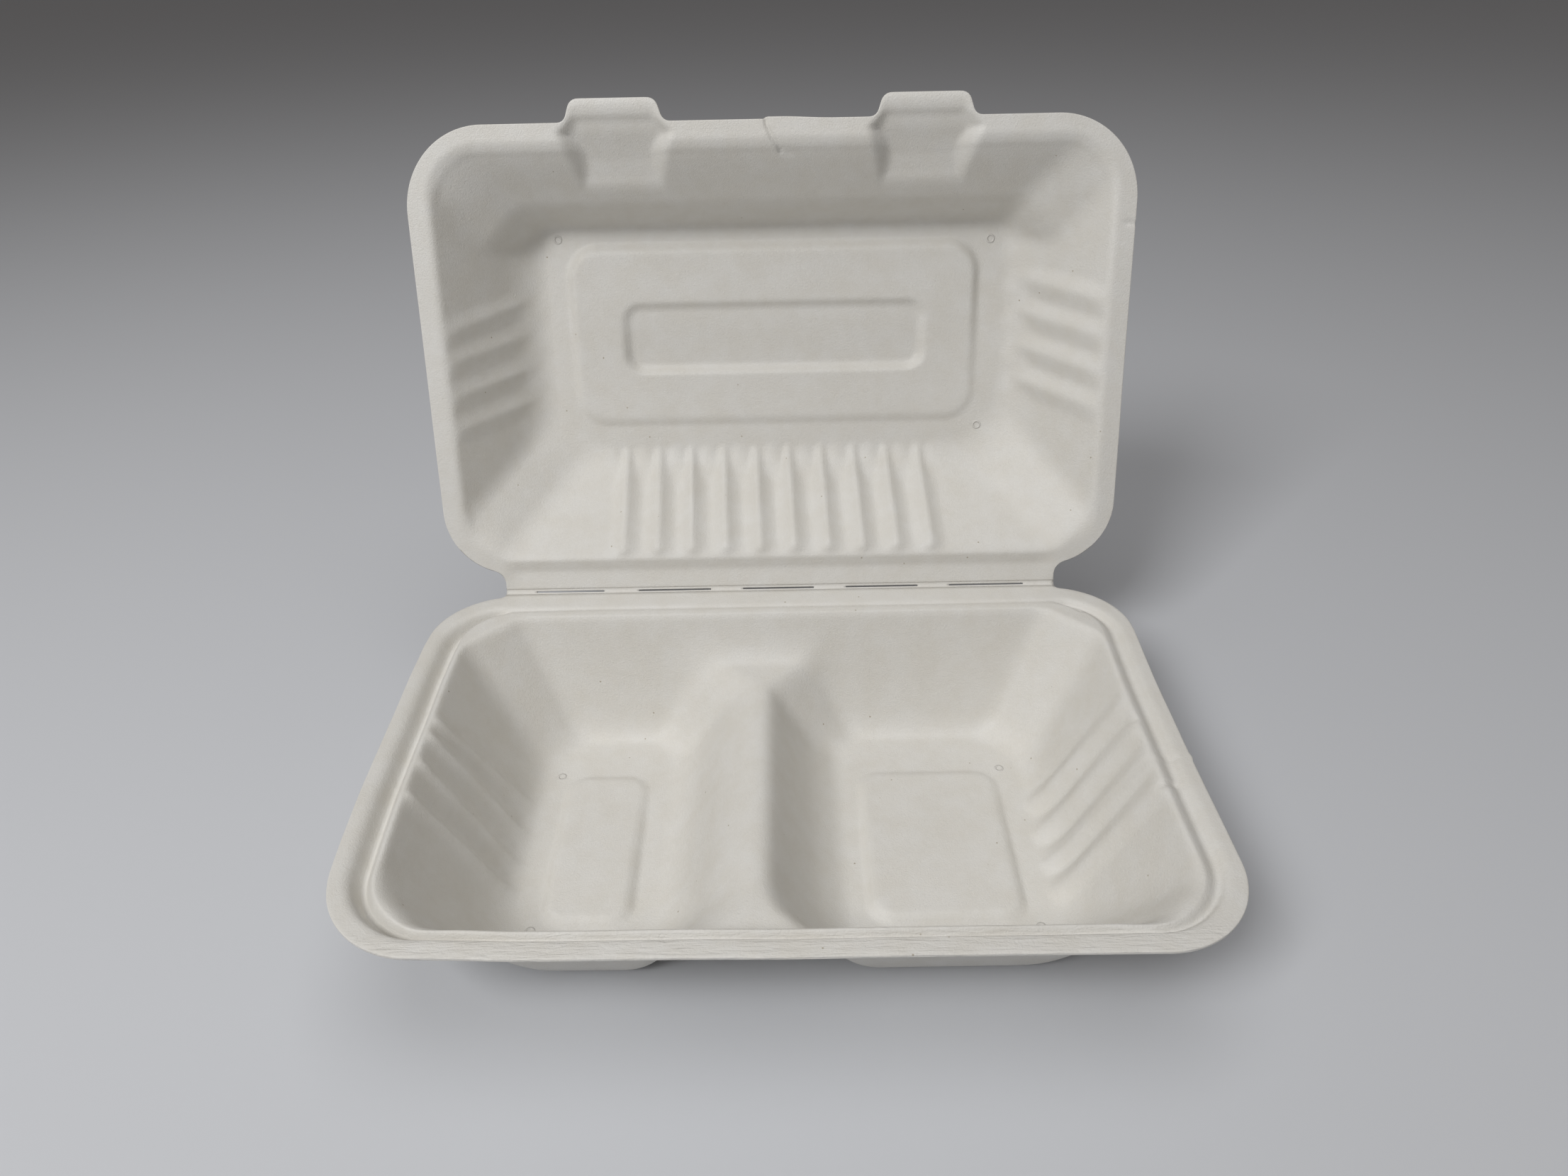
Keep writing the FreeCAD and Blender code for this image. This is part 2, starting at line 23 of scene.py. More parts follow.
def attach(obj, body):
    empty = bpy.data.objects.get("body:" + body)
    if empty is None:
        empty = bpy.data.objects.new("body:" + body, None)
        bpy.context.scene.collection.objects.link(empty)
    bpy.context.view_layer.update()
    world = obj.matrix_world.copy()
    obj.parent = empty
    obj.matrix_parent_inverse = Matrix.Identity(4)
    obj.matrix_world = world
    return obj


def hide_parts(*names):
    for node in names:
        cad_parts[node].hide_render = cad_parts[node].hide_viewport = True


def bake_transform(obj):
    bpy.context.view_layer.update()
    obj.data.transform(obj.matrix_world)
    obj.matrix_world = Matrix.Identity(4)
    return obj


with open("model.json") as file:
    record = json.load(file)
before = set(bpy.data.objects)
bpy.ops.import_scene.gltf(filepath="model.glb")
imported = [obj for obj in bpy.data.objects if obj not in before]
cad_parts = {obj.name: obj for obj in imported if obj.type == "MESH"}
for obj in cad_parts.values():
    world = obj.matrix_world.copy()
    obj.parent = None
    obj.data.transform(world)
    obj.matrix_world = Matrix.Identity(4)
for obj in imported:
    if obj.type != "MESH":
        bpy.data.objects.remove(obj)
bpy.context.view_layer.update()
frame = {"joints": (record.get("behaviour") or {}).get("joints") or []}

LOG = logging.getLogger("container")
Array = np.ndarray
NodeTree = bpy.types.NodeTree
Socket = bpy.types.NodeSocket
MM = 0.001
HINGE = Vector(frame["joints"][0]["pos_m"])
# Angle at which the lid stands over the floor: the turn that takes it back to lying flat.
LID_RISE = math.radians(-frame["joints"][0]["range_deg"][0])

# Sizes that the pieces share, in millimetres: the thickness of the sheet, half of the gap between
# the shut rims, half of the width of the fold and the same with some play, half of the length of
# the fold, the rounding of the cut edge and the smallest corner of an outline.
SHEET = 1.0
RIM_GAP = 0.15
SEAM = 0.95
SEAM_EDGE = 1.0
NECK = 96.5
CUT_ROUNDING = 0.22
SMALLEST_RADIUS = 2.0
# Depth over which two surfaces blend where the edge between them stays all but sharp.
SHARP = 1e-3
# Distance from a scar that any point on the sheet is nearer than, or else out of its reach.
FAR_AWAY = 99.0
# Points on an arc and on a rounded corner, and steps of the grid from the last ring's corner.
ARC_POINTS = 33
BEND_POINTS = 9
CORNER_STEPS = 5
# Unevenness: how many waves, the turn from each to the next, the shortest one and the step to the
# next as shares of the given length, a shift that parts their crests, and what they add up to.
WAVES = 5
WAVE_TURN = 2.4
WAVE_START = 0.7
WAVE_STEP = 0.23
WAVE_SHIFT = 1.7
WAVE_SUM = 3.2


# ------------------------------------------------------------------ helpers
def soft_min(a: Array, b: Array, reach: Array) -> Array:
    """Lesser of two heights, with the edge between them rounded.

    Args:
        a: first heights.
        b: second heights.
        reach: difference of height over which the edge is rounded.

    Returns:
        The blended heights.
    """
    share = np.clip(0.5 + 0.5 * (b - a) / reach, 0.0, 1.0)
    return b * (1 - share) + a * share - reach * share * (1 - share)


def soft_max(a: Array, b: Array, reach: Array) -> Array:
    """Greater of two heights, with the edge between them rounded.

    Args:
        a: first heights.
        b: second heights.
        reach: difference of height over which the edge is rounded.

    Returns:
        The blended heights.
    """
    return -soft_min(-a, -b, reach)


def ease(low: float, high: float, value: Array) -> Array:
    """Smooth step from 0 at low to 1 at high.

    Args:
        low: value at which the step starts.
        high: value at which it ends, which may be the lower one.
        value: where the step is read.

    Returns:
        Shares from 0 to 1.
    """
    share = np.clip((value - low) / (high - low), 0.0, 1.0)
    return share * share * (3 - 2 * share)


def spaced(*stretches: tuple) -> Array:
    """Places along a line, closer together where the form is finer.

    Args:
        stretches: start of each stretch with its step, and the end of the last one.

    Returns:
        The places in order.
    """
    runs = [
        np.linspace(start, end, max(1, round((end - start) / step)) + 1)[:-1]
        for (start, step), (end, _) in zip(stretches, stretches[1:])
    ]
    return np.concatenate([*runs, [stretches[-1][0]]])


def unevenness(x: Array, v: Array, length: float, seed: float) -> Array:
    """Gentle waves of a hand-sized sheet, between about -1 and 1.

    Args:
        x: places along the fold.
        v: places away from the fold.
        length: typical length of a wave.
        seed: number that sets where the waves lie.

    Returns:
        Height of the waves.
    """
    total = np.zeros_like(x)
    for n in range(WAVES):
        angle = seed + WAVE_TURN * n
        turn = math.tau / (length * (WAVE_START + WAVE_STEP * n))
        across = x * math.cos(angle) + v * math.sin(angle)
        total = total + np.sin(turn * across + WAVE_SHIFT * angle)
    return total / WAVE_SUM


def along(path: Array, share: Array) -> Array:
    """Points at shares of a path's length.

    Args:
        path: corners of the path, one row each.
        share: shares of the length, from 0 to 1.

    Returns:
        The points, one row each.
    """
    steps = np.hypot(*np.diff(path, axis=0).T)
    run = np.concatenate([[0.0], np.cumsum(steps)])
    at = np.asarray(share) * run[-1]
    return np.column_stack([np.interp(at, run, path[:, 0]), np.interp(at, run, path[:, 1])])


def arc(centre: tuple, radius: float, start: float, end: float) -> Array:
    """Points on an arc.

    Args:
        centre: middle of the arc.
        radius: its radius.
        start: first angle in degrees, from +x towards +v.
        end: last angle in degrees.

    Returns:
        The points, one row each.
    """
    angle = np.radians(np.linspace(start, end, ARC_POINTS))
    ring = [centre[0] + radius * np.cos(angle), centre[1] + radius * np.sin(angle)]
    return np.column_stack(ring)


def rounded(points: list, radii: list) -> Array:
    """Open path through corners that are rounded off.

    Args:
        points: the corners, with both ends.
        radii: radius of each corner between the ends.

    Returns:
        The path, one row a point.
    """
    corners = [np.array(p, float) for p in points]
    path = [corners[0]]
    for before, here, after, radius in zip(corners, corners[1:], corners[2:], radii):
        back = (before - here) / np.linalg.norm(before - here)
        on = (after - here) / np.linalg.norm(after - here)
        half = math.acos(float(np.clip(back @ on, -1, 1))) / 2
        leg = radius / math.tan(half)
        for share in np.linspace(0, 1, BEND_POINTS):
            first = here + back * leg * (1 - share)
            second = here + on * leg * share
            path.append(first * (1 - share) + second * share)
    path.append(corners[-1])
    return np.array(path)


# ------------------------------------------------------------------ outlines
class Leg(Enum):
    """The two ways in which an outline leaves a corner."""

    ALONG = "along the fold"
    AWAY = "away from the fold"


@dataclass(frozen=True)
class Outline:
    """Oblong with round corners, the same to the left and to the right."""

    half: float
    near: float
    far: float
    near_radius: float
    far_radius: float

    def inwards(self, side: float, near: float, far: float) -> "Outline":
        """The plain outline that lies further in.

        Args:
            side: move of the two sides.
            near: move of the edge by the fold.
            far: move of the edge away from the fold.

        Returns:
            The smaller outline.
        """
        return Outline(
            self.half - side,
            self.near + near,
            self.far - far,
            max(self.near_radius - (side + near) / 2, SMALLEST_RADIUS),
            max(self.far_radius - (side + far) / 2, SMALLEST_RADIUS),
        )

    def leg(self, at_fold: bool, way: Leg, stop: float, count: int) -> Array:
        """Points from the middle of the right-hand corner to the start of the fixed lines.

        Args:
            at_fold: whether the corner is one by the fold.
            way: which way the outline leaves the corner.
            stop: column or row at which the leg ends.
            count: number of steps.

        Returns:
            The points, one row each.
        """
        radius = self.near_radius if at_fold else self.far_radius
        edge = self.near if at_fold else self.far
        sign = -1 if at_fold else 1
        centre = (self.half - radius, edge - sign * radius)
        if way is Leg.ALONG:
            path = np.vstack([arc(centre, radius, sign * 45, sign * 90), [[stop, edge]]])
        else:
            path = np.vstack([arc(centre, radius, sign * 45, 0), [[self.half, stop]]])
        return along(path, np.linspace(0, 1, count + 1))

    def far_edge(self, columns: Array) -> Array:
        """Points of the edge away from the fold on the fixed columns."""
        return np.column_stack([columns, np.full_like(columns, self.far)])


@dataclass(frozen=True)
class Trim(Outline):
    """The cut edge, with a neck at each end of the fold and, on the lid, the lift tabs.

    The tabs are given by their middles, how far they reach out, half of their width at the root
    and at the tip, half of the stretch of edge that they take up, and the radius at the root
    and at the tip as shares of the reach.
    """

    neck_radius: float
    shoulder: float
    neck: float = NECK
    tabs: tuple = ()
    tab_reach: float = 0.0
    tab_root: float = 15.4
    tab_tip: float = 13.2
    tab_span: float = 20.0
    root_radius: float = 0.45
    tip_radius: float = 0.55

    def leg(self, at_fold: bool, way: Leg, stop: float, count: int) -> Array:
        """Points from the middle of the corner, round the neck and along the fold.

        Args:
            at_fold: whether the corner is one by the fold.
            way: which way the outline leaves the corner.
            stop: column or row at which the leg ends.
            count: number of steps.

        Returns:
            The points, one row each.
        """
        if not at_fold or way is Leg.AWAY:
            radii = (self.near_radius, self.far_radius)
            plain = Outline(self.half, self.shoulder, self.far, *radii)
            return plain.leg(at_fold, way, stop, count)
        radius, small = self.near_radius, self.neck_radius
        centre = (self.half - radius, self.shoulder + radius)
        across = self.neck + small - centre[0]
        rise = math.sqrt((radius + small) ** 2 - across**2)
        turn = math.degrees(math.atan2(-rise, across))
        small_centre = (self.neck + small, centre[1] - rise)
        flare = np.vstack(
            [arc(centre, radius, -45, turn), arc(small_centre, small, turn + 180, 180)[1:]]
        )
        flare = np.vstack([flare, [[self.neck, self.near]]])
        straight = self.neck - stop
        length = np.hypot(*np.diff(flare, axis=0).T).sum()
        first = max(4, round(count * length / (length + straight)))
        ahead = np.linspace(self.neck, stop, count - first + 1)[1:]
        seam = np.column_stack([ahead, np.full_like(ahead, self.near)])
        return np.vstack([along(flare, np.linspace(0, 1, first + 1)), seam])

    def far_edge(self, columns: Array) -> Array:
        """Points of the front edge, round each tab.

        Args:
            columns: fixed columns.

        Returns:
            The points, one row each.
        """
        edge = super().far_edge(columns)
        wide, tip = self.tab_span, self.far + self.tab_reach
        half = [(-wide, self.far), (-self.tab_root, self.far), (-self.tab_tip, tip)]
        corners = half + [(-x, v) for x, v in reversed(half)]
        radii = [self.tab_reach * share for share in (self.root_radius, self.tip_radius)]
        for centre in self.tabs:
            path = rounded([(centre + x, v) for x, v in corners], radii + radii[::-1])
            inside = np.abs(columns - centre) <= wide
            edge[inside] = along(path, (columns[inside] - centre + wide) / (2 * wide))
        return edge


@dataclass(frozen=True)
class Between:
    """Line between the cut edge and the inner edge of the flange, with shorter tabs."""

    trim: Trim
    inner: Outline
    share: float
    tab_reach: float

    @property
    def half(self) -> float:
        """Half of the length between the two sides."""
        return self.trim.half + (self.inner.half - self.trim.half) * self.share

    @property
    def near(self) -> float:
        """Place of the edge by the fold."""
        return self.trim.near + (self.inner.near - self.trim.near) * self.share

    def leg(self, at_fold: bool, way: Leg, stop: float, count: int) -> Array:
        """Points from the middle of the right-hand corner to the start of the fixed lines.

        Args:
            at_fold: whether the corner is one by the fold.
            way: which way the outline leaves the corner.
            stop: column or row at which the leg ends.
            count: number of steps.

        Returns:
            The points, one row each.
        """
        outer = self.trim.leg(at_fold, way, stop, count)
        inner = self.inner.leg(at_fold, way, stop, count)
        return outer * (1 - self.share) + inner * self.share

    def far_edge(self, columns: Array) -> Array:
        """Points of the edge away from the fold on the fixed columns."""
        far = self.trim.far + (self.inner.far - self.trim.far) * self.share
        return replace(self.trim, far=far, tab_reach=self.tab_reach).far_edge(columns)


# ------------------------------------------------------------------ the sheet
@dataclass
class RingGrid:
    """Grid of points laid out in rings that follow the rim of one half."""

    stations: list
    rings: tuple
    corner: int
    columns: Array
    rows: Array
    place: Array = field(init=False)
    station: Array = field(init=False)

    def __post_init__(self) -> None:
        """Lay the rings out from the trimmed edge inwards, and fill the floor."""
        depth = sum(self.rings)
        border = depth + self.corner
        across = len(self.columns) - 1 + 2 * border
        deep = len(self.rows) - 1 + 2 * border
        self.place = np.zeros((across + 1, deep + 1, 2))
        self.station = np.full((across + 1, deep + 1), float(len(self.rings)))
        ends = np.concatenate([[0], np.cumsum(self.rings)])
        for ring in range(depth + 1):
            number = float(np.interp(ring, ends, np.arange(len(ends))))
            first = min(int(number), len(self.stations) - 2)
            share = number - first
            outer = self.ring_points(self.stations[first], ring, border)
            inner = self.ring_points(self.stations[first + 1], ring, border)
            for (key, points), (_, further) in zip(outer, inner):
                self.place[key] = points * (1 - share) + further * share
                self.station[key] = number
        self.fill_floor(depth)

    def ring_points(self, outline: Outline, ring: int, border: int) -> list:
        """Points of one ring on an outline.

        Args:
            outline: the outline.
            ring: number of the ring, counted from the edge.
            border: number of the first fixed column.

        Returns:
            Places in the grid, each with its points.
        """
        last_i, last_j = (n - 1 for n in self.place.shape[:2])
        steps = border - ring
        leg = slice(ring, border + 1)
        from_right = slice(last_i - ring, last_i - border - 1, -1)
        found = []
        for at_fold in (True, False):
            j = ring if at_fold else last_j - ring
            points = outline.leg(at_fold, Leg.ALONG, self.columns[-1], steps)
            found += [((from_right, j), points), ((leg, j), points * [-1, 1])]
            row = self.rows[0] if at_fold else self.rows[-1]
            rows = leg if at_fold else slice(last_j - ring, last_j - border - 1, -1)
            points = outline.leg(at_fold, Leg.AWAY, row, steps)
            found += [((last_i - ring, rows), points), ((ring, rows), points * [-1, 1])]
        middle = slice(border, last_i - border + 1)
        near = np.column_stack([self.columns, np.full_like(self.columns, outline.near)])
        found.append(((middle, ring), near))
        found.append(((middle, last_j - ring), outline.far_edge(self.columns)))
        span = slice(border, last_j - border + 1)
        for i, side in ((ring, -1), (last_i - ring, 1)):
            edge = np.column_stack([np.full_like(self.rows, side * outline.half), self.rows])
            found.append(((i, span), edge))
        return found

    def fill_floor(self, depth: int) -> None:
        """Spread the points of the floor evenly between its four edges.

        Args:
            depth: number of rings round the floor.
        """
        last_i, last_j = (n - 1 for n in self.place.shape[:2])
        block = self.place[depth : last_i - depth + 1, depth : last_j - depth + 1]
        west, east = block[0], block[-1]
        south, north = block[:, 0], block[:, -1]
        u = (south[:, 0] - south[0, 0]) / (south[-1, 0] - south[0, 0])
        w = (west[:, 1] - west[0, 1]) / (west[-1, 1] - west[0, 1])
        u, w = u[:, None, None], w[None, :, None]
        corners = (
            (1 - u) * (1 - w) * south[0]
            + u * (1 - w) * south[-1]
            + (1 - u) * w * north[0]
            + u * w * north[-1]
        )
        sides = (1 - u) * west[None] + u * east[None]
        ends = (1 - w) * south[:, None] + w * north[:, None]
        block[1:-1, 1:-1] = (sides + ends - corners)[1:-1, 1:-1]


@dataclass(frozen=True)
class Wall:
    """One sloping wall of a hollow.

    It is 0 deep on its line at the rim and deeper by its slope for each millimetre further in.
    The line is given by the direction inwards, as x and v, and by its offset.
    """

    x: float
    v: float
    offset: float
    slope: float

    def depth(self, x: Array, v: Array, shift: Array = 0.0) -> Array:
        """Depth of the wall.

        Args:
            x: places along the fold.
            v: places away from the fold.
            shift: how far the wall stands proud into the hollow.

        Returns:
            Depths below the rim.
        """
        return (self.x * x + self.v * v + self.offset - shift) * self.slope


@dataclass(frozen=True)
class Rib:
    """Rib that stands proud of a wall and runs down into the floor.

    It has a place along the wall at the floor and one at the rim, its height and half of its
    width. The power narrows its crest and the tip rounds it; the top is the share of its height
    that it has at the rim, and the end the share of the wall's depth at which it has run out.
    """

    at_floor: float
    at_rim: float
    height: float
    half: float
    power: float
    tip: float
    top: float
    end: float = 1.7
    line_end: float = 1.3
    growth: tuple = (0.06, 0.95)
    start: tuple = (-0.05, 0.12)
    run_out: float = 0.4

    def shift(self, place: Array, share: Array) -> Array:
        """How far the rib pushes the wall into the hollow.

        Args:
            place: places along the wall.
            share: share of the wall's depth, from 0 at the rim to 1 at the floor.

        Returns:
            Shift in millimetres.
        """
        lean = self.at_floor - self.at_rim
        centre = self.at_rim + lean * np.clip(share, 0, self.line_end)
        off = np.abs(place - centre) / self.half
        crest = np.maximum(0.0, 1 - np.sqrt(off**2 + self.tip**2)) ** self.power
        rise = ease(*self.growth, share) * (1 - self.top) + ease(*self.start, share) * self.top
        return self.height * crest * rise * ease(self.end, self.end - self.run_out, share)


@dataclass(frozen=True)
class Scar:
    """Small crack or crease: a narrow furrow along a path, with its depth and half-width."""

    path: tuple
    depth: float
    half: float

    def at(self, x: Array, v: Array) -> Array:
        """Depth of the furrow.

        Args:
            x: places along the fold.
            v: places away from the fold.

        Returns:
            Depths in millimetres.
        """
        nearest = np.full_like(x, FAR_AWAY)
        for (x0, v0), (x1, v1) in zip(self.path, self.path[1:]):
            dx, dv = x1 - x0, v1 - v0
            share = np.clip(((x - x0) * dx + (v - v0) * dv) / (dx * dx + dv * dv), 0, 1)
            nearest = np.minimum(nearest, np.hypot(x - x0 - share * dx, v - v0 - share * dv))
        return self.depth * np.exp(-((nearest / self.half) ** 2))


@dataclass(frozen=True)
class Waviness:
    """Unevenness of the dried sheet.

    It has how far the whole has settled, and a long and a short set of waves, each with its
    length, its seed and its height.
    """

    settled: float
    long: tuple
    short: tuple

    def at(self, x: Array, v: Array) -> Array:
        """Depth of the waves.

        Args:
            x: places along the fold.
            v: places away from the fold.

        Returns:
            Depths in millimetres.
        """
        total = self.settled
        for length, seed, height in (self.long, self.short):
            total = total + unevenness(x, v, length, seed) * height
        return total


@dataclass(frozen=True)
class Panel:
    """Flat oblong in a floor, raised or, with a height below 0, sunk.

    It has a middle, half of its size and the radius of its corners. Over the rows its height
    grows by more. The bevel round it goes from one distance inside the oblong to another.
    """

    centre: tuple
    half: tuple
    radius: float
    height: float
    more: float
    rows: tuple
    bevel: tuple

    def at(self, x: Array, v: Array) -> Array:
        """Height of the panel.

        Args:
            x: places along the fold.
            v: places away from the fold.

        Returns:
            Heights in millimetres.
        """
        dx = np.abs(x - self.centre[0]) - (self.half[0] - self.radius)
        dv = np.abs(v - self.centre[1]) - (self.half[1] - self.radius)
        outside = np.hypot(np.maximum(dx, 0), np.maximum(dv, 0))
        inside = self.radius - outside - np.minimum(np.maximum(dx, dv), 0)
        return (self.height + self.more * ease(*self.rows, v)) * ease(*self.bevel, inside)


@dataclass(frozen=True)
class Zone:
    """Part of a half in which something grows in smoothly, over rows and over columns."""

    amount: float
    rows: tuple
    columns: tuple

    def at(self, x: Array, v: Array) -> Array:
        """Amount at each place, the same to the left and to the right."""
        return self.amount * ease(*self.rows, v) * ease(*self.columns, np.abs(x))


@dataclass(frozen=True)
class Hollow:
    """Walls, cut corners and floor of one hollow.

    The runs say how far a wall goes inwards on its way down, the cuts how much a corner's facet
    takes off at the rim and at the floor, and the reaches over what height the walls blend. The
    bend of the far wall is a share of the depth, the depth of the wall there and a reach.
    """

    centre: float
    side: float
    near: float
    far: float
    depth: float
    side_run: float
    near_run: float
    far_run: float
    near_cut: tuple
    far_cut: tuple
    wall_reach: float
    far_reach: float
    left_ribs: tuple = ()
    right_ribs: tuple = ()
    near_ribs: tuple = ()
    far_bend: tuple = ()

    def walls(self) -> dict:
        """Slopes of the four walls, from the depth and the run of each.

        Returns:
            The walls by name.
        """
        runs = (self.side_run, self.near_run, self.far_run)
        side, near, far = (self.depth / run for run in runs)
        return {
            "left": Wall(1, 0, self.side - self.centre, side),
            "right": Wall(-1, 0, self.side + self.centre, side),
            "near": Wall(0, 1, -self.near, near),
            "far": Wall(0, -1, self.far, far),
        }

    def bent(self, depth: Array) -> Array:
        """Depth of the far wall and its facets, which may steepen on their way down.

        Args:
            depth: depths of the straight walls.

        Returns:
            Depths of the bent ones.
        """
        if not self.far_bend:
            return depth
        at, low, reach = self.far_bend
        share = depth / self.depth
        steep = low + (share - at) * (self.depth - low) / (1 - at)
        return soft_max(share * low / at, steep, reach)

    def facet(self, first: Wall, second: Wall, cut: tuple) -> Wall:
        """Wall that cuts the corner between two walls at 45 degrees.

        Args:
            first: one wall.
            second: the other.
            cut: how much it cuts off each, at the rim and at the floor.

        Returns:
            The facet.
        """
        run = self.depth / first.slope + self.depth / second.slope
        return Wall(
            first.x + second.x,
            first.v + second.v,
            first.offset + second.offset - cut[0],
            self.depth / (run + cut[1] - cut[0]),
        )

    def ribbed(self, wall: Wall, ribs: tuple, x: Array, v: Array, place: Array) -> tuple:
        """Depth of a wall with its ribs.

        Args:
            wall: the wall.
            ribs: its ribs.
            x: places along the fold.
            v: places away from the fold.
            place: the one of these that runs along the wall.

        Returns:
            The depth, and the height of the ribs.
        """
        share = wall.depth(x, v) / self.depth
        shift = np.zeros_like(x)
        for rib in ribs:
            shift = np.maximum(shift, rib.shift(place, share))
        return wall.depth(x, v, shift), shift

    def wall_depth(self, x: Array, v: Array) -> tuple:
        """Depth of all walls together.

        Args:
            x: places along the fold.
            v: places away from the fold.

        Returns:
            The depth, and the height of the ribs at each place.
        """
        walls = self.walls()
        left, left_shift = self.ribbed(walls["left"], self.left_ribs, x, v, v)
        right, right_shift = self.ribbed(walls["right"], self.right_ribs, x, v, v)
        near, near_shift = self.ribbed(walls["near"], self.near_ribs, x, v, x)
        far = walls["far"].depth(x, v)
        total = soft_min(soft_min(left, right, self.wall_reach), near, self.wall_reach)
        for side in ("left", "right"):
            facet = self.facet(walls[side], walls["far"], self.far_cut)
            far = soft_min(far, facet.depth(x, v), self.far_reach)
            facet = self.facet(walls[side], walls["near"], self.near_cut)
            total = soft_min(total, facet.depth(x, v), self.wall_reach)
        total = soft_min(total, self.bent(far), self.far_reach)
        return total, np.maximum(np.maximum(left_shift, right_shift), near_shift)


@dataclass
class Pressing:
    """One half of the container, pressed from a grid of faces.

    The insets move the inner edge of the flange inwards, at the sides, by the fold and away
    from it, once for each further outline. The rings are the steps from each outline to the
    next, and the columns and rows give the start and the step of each stretch of the floor. The
    walls blend into the floor over floor_reach, which is tighter at the end of some rows.
    """

    name: str
    body: str
    node: str
    hollow: Hollow
    panels: tuple
    waviness: Waviness
    nibs: tuple
    scars: tuple
    insets: tuple
    rings: tuple
    columns: tuple
    rows: tuple
    floor_reach: float
    tighter: float
    tighter_rows: tuple
    sheet: float = SHEET
    half: float = 115.8
    far: float = 152.0
    centring: tuple = (0.5, 3.0)

    def outlines(self) -> list:
        """Outlines of the flange, from the cut edge to its inner edge."""
        raise NotImplementedError

    def grid(self) -> RingGrid:
        """Layout of the sheet's points.

        Returns:
            The grid, whose inner rings are centred on the hollow.
        """
        flange = self.outlines()
        stations = [*flange, *(flange[-1].inwards(*inset) for inset in self.insets)]
        columns, rows = spaced(*self.columns), spaced(*self.rows)
        layout = RingGrid(stations, self.rings, CORNER_STEPS, columns, rows)
        layout.place[..., 0] += self.hollow.centre * ease(*self.centring, layout.station)
        return layout

    def depths(self, x: Array, v: Array, station: Array) -> Array:
        """Depth of each point below the face of the rim."""
        raise NotImplementedError

    def placed(self, x: Array, v: Array, depth: Array) -> Array:
        """Points in the frame of the container, in metres."""
        raise NotImplementedError

    def on_floor(self, x: Array, v: Array, walls: Array, crisp: Array = 0.0) -> Array:
        """Depth of the walls, blended into the floor with its panels.

        Args:
            x: places along the fold.
            v: places away from the fold.
            walls: depths of the walls.
            crisp: share by which the blend is tighter still.

        Returns:
            Depths in millimetres.
        """
        reach = self.floor_reach - self.tighter * ease(*self.tighter_rows, v)
        depth = soft_min(walls, np.full_like(x, self.hollow.depth), reach * (1 - crisp))
        return depth - sum(panel.at(x, v) for panel in self.panels)

    def build(self, finish: bpy.types.Material) -> bpy.types.Object:
        """Press the sheet, give it its thickness and its soft cut edge, and dress it.

        Args:
            finish: its material.

        Returns:
            The finished piece.
        """
        layout = self.grid()
        across, deep = layout.place.shape[:2]
        x, v = layout.place[..., 0], layout.place[..., 1]
        depth = self.depths(x, v, layout.station)
        points = self.placed(x, v, depth)
        bm = bmesh.new()
        bmesh.ops.create_grid(bm, x_segments=across - 1, y_segments=deep - 1, size=0.5)
        seat(bm, points)
        face_upwards(bm, self.opening())
        thicken(bm, self.sheet * MM)
        soften_cut_edge(bm, lambda co: not self.in_seam(co))
        piece = new_piece(self.name, bm)
        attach(piece, self.body)
        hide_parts(self.node)
        piece.data.materials.append(finish)
        return piece

    def opening(self) -> Vector:
        """Direction in which the hollow opens."""
        raise NotImplementedError

    def in_seam(self, co: Vector) -> bool:
        """Whether a point lies where the half joins the fold."""
        raise NotImplementedError

    def nib_places(self) -> Array:
        """Where the mould's release pins leave their small rings.

        Returns:
            Places on the floor, in metres, one row each.
        """
        spots = np.array(self.nibs, float)
        depth = np.full(len(spots), self.hollow.depth)
        return self.placed(spots[:, 0], spots[:, 1], depth)


def seat(bm: bmesh.types.BMesh, points: Array) -> None:
    """Move the points of a grid one metre wide to their places.

    Args:
        bm: the grid, as create_grid leaves it.
        points: places by column and row, in metres.
    """
    across, deep = points.shape[:2]
    for vert in bm.verts:
        i = round((vert.co.x + 0.5) * (across - 1))
        j = round((vert.co.y + 0.5) * (deep - 1))
        vert.co = points[i, j]


def face_upwards(bm: bmesh.types.BMesh, opening: Vector) -> None:
    """Turn the faces of an open sheet towards the side on which it opens.

    Args:
        bm: the sheet.
        opening: direction in which its hollow opens.
    """
    bm.normal_update()
    total = sum((f.normal * f.calc_area() for f in bm.faces), Vector())
    if total.dot(opening) < 0:
        bmesh.ops.reverse_faces(bm, faces=bm.faces)
        bm.normal_update()


def thicken(bm: bmesh.types.BMesh, thickness: float) -> None:
    """Give an open sheet its thickness on the side that its faces turn away from.

    Args:
        bm: the sheet.
        thickness: in metres.
    """
    cut = bm.verts.layers.int.new("cut")
    for vert in bm.verts:
        vert[cut] = int(vert.is_boundary)
    double(bm, {place_key(vert.co): -vert.normal * thickness for vert in bm.verts})


def double(bm: bmesh.types.BMesh, moves: dict) -> None:
    """Make a closed shell of an open sheet.

    Args:
        bm: the sheet.
        moves: from each of its points to the one on its other side, by place_key.
    """
    made = bmesh.ops.extrude_face_region(bm, geom=bm.faces[:], use_keep_orig=True)
    for vert in made["geom"]:
        if isinstance(vert, bmesh.types.BMVert):
            vert.co += moves[place_key(vert.co)]
    bmesh.ops.recalc_face_normals(bm, faces=bm.faces[:])
    bm.normal_update()


def place_key(co: Vector) -> tuple:
    """Place of a point, rounded to 0.0001 mm so that it can be looked up."""
    return tuple(round(c, 7) for c in co)


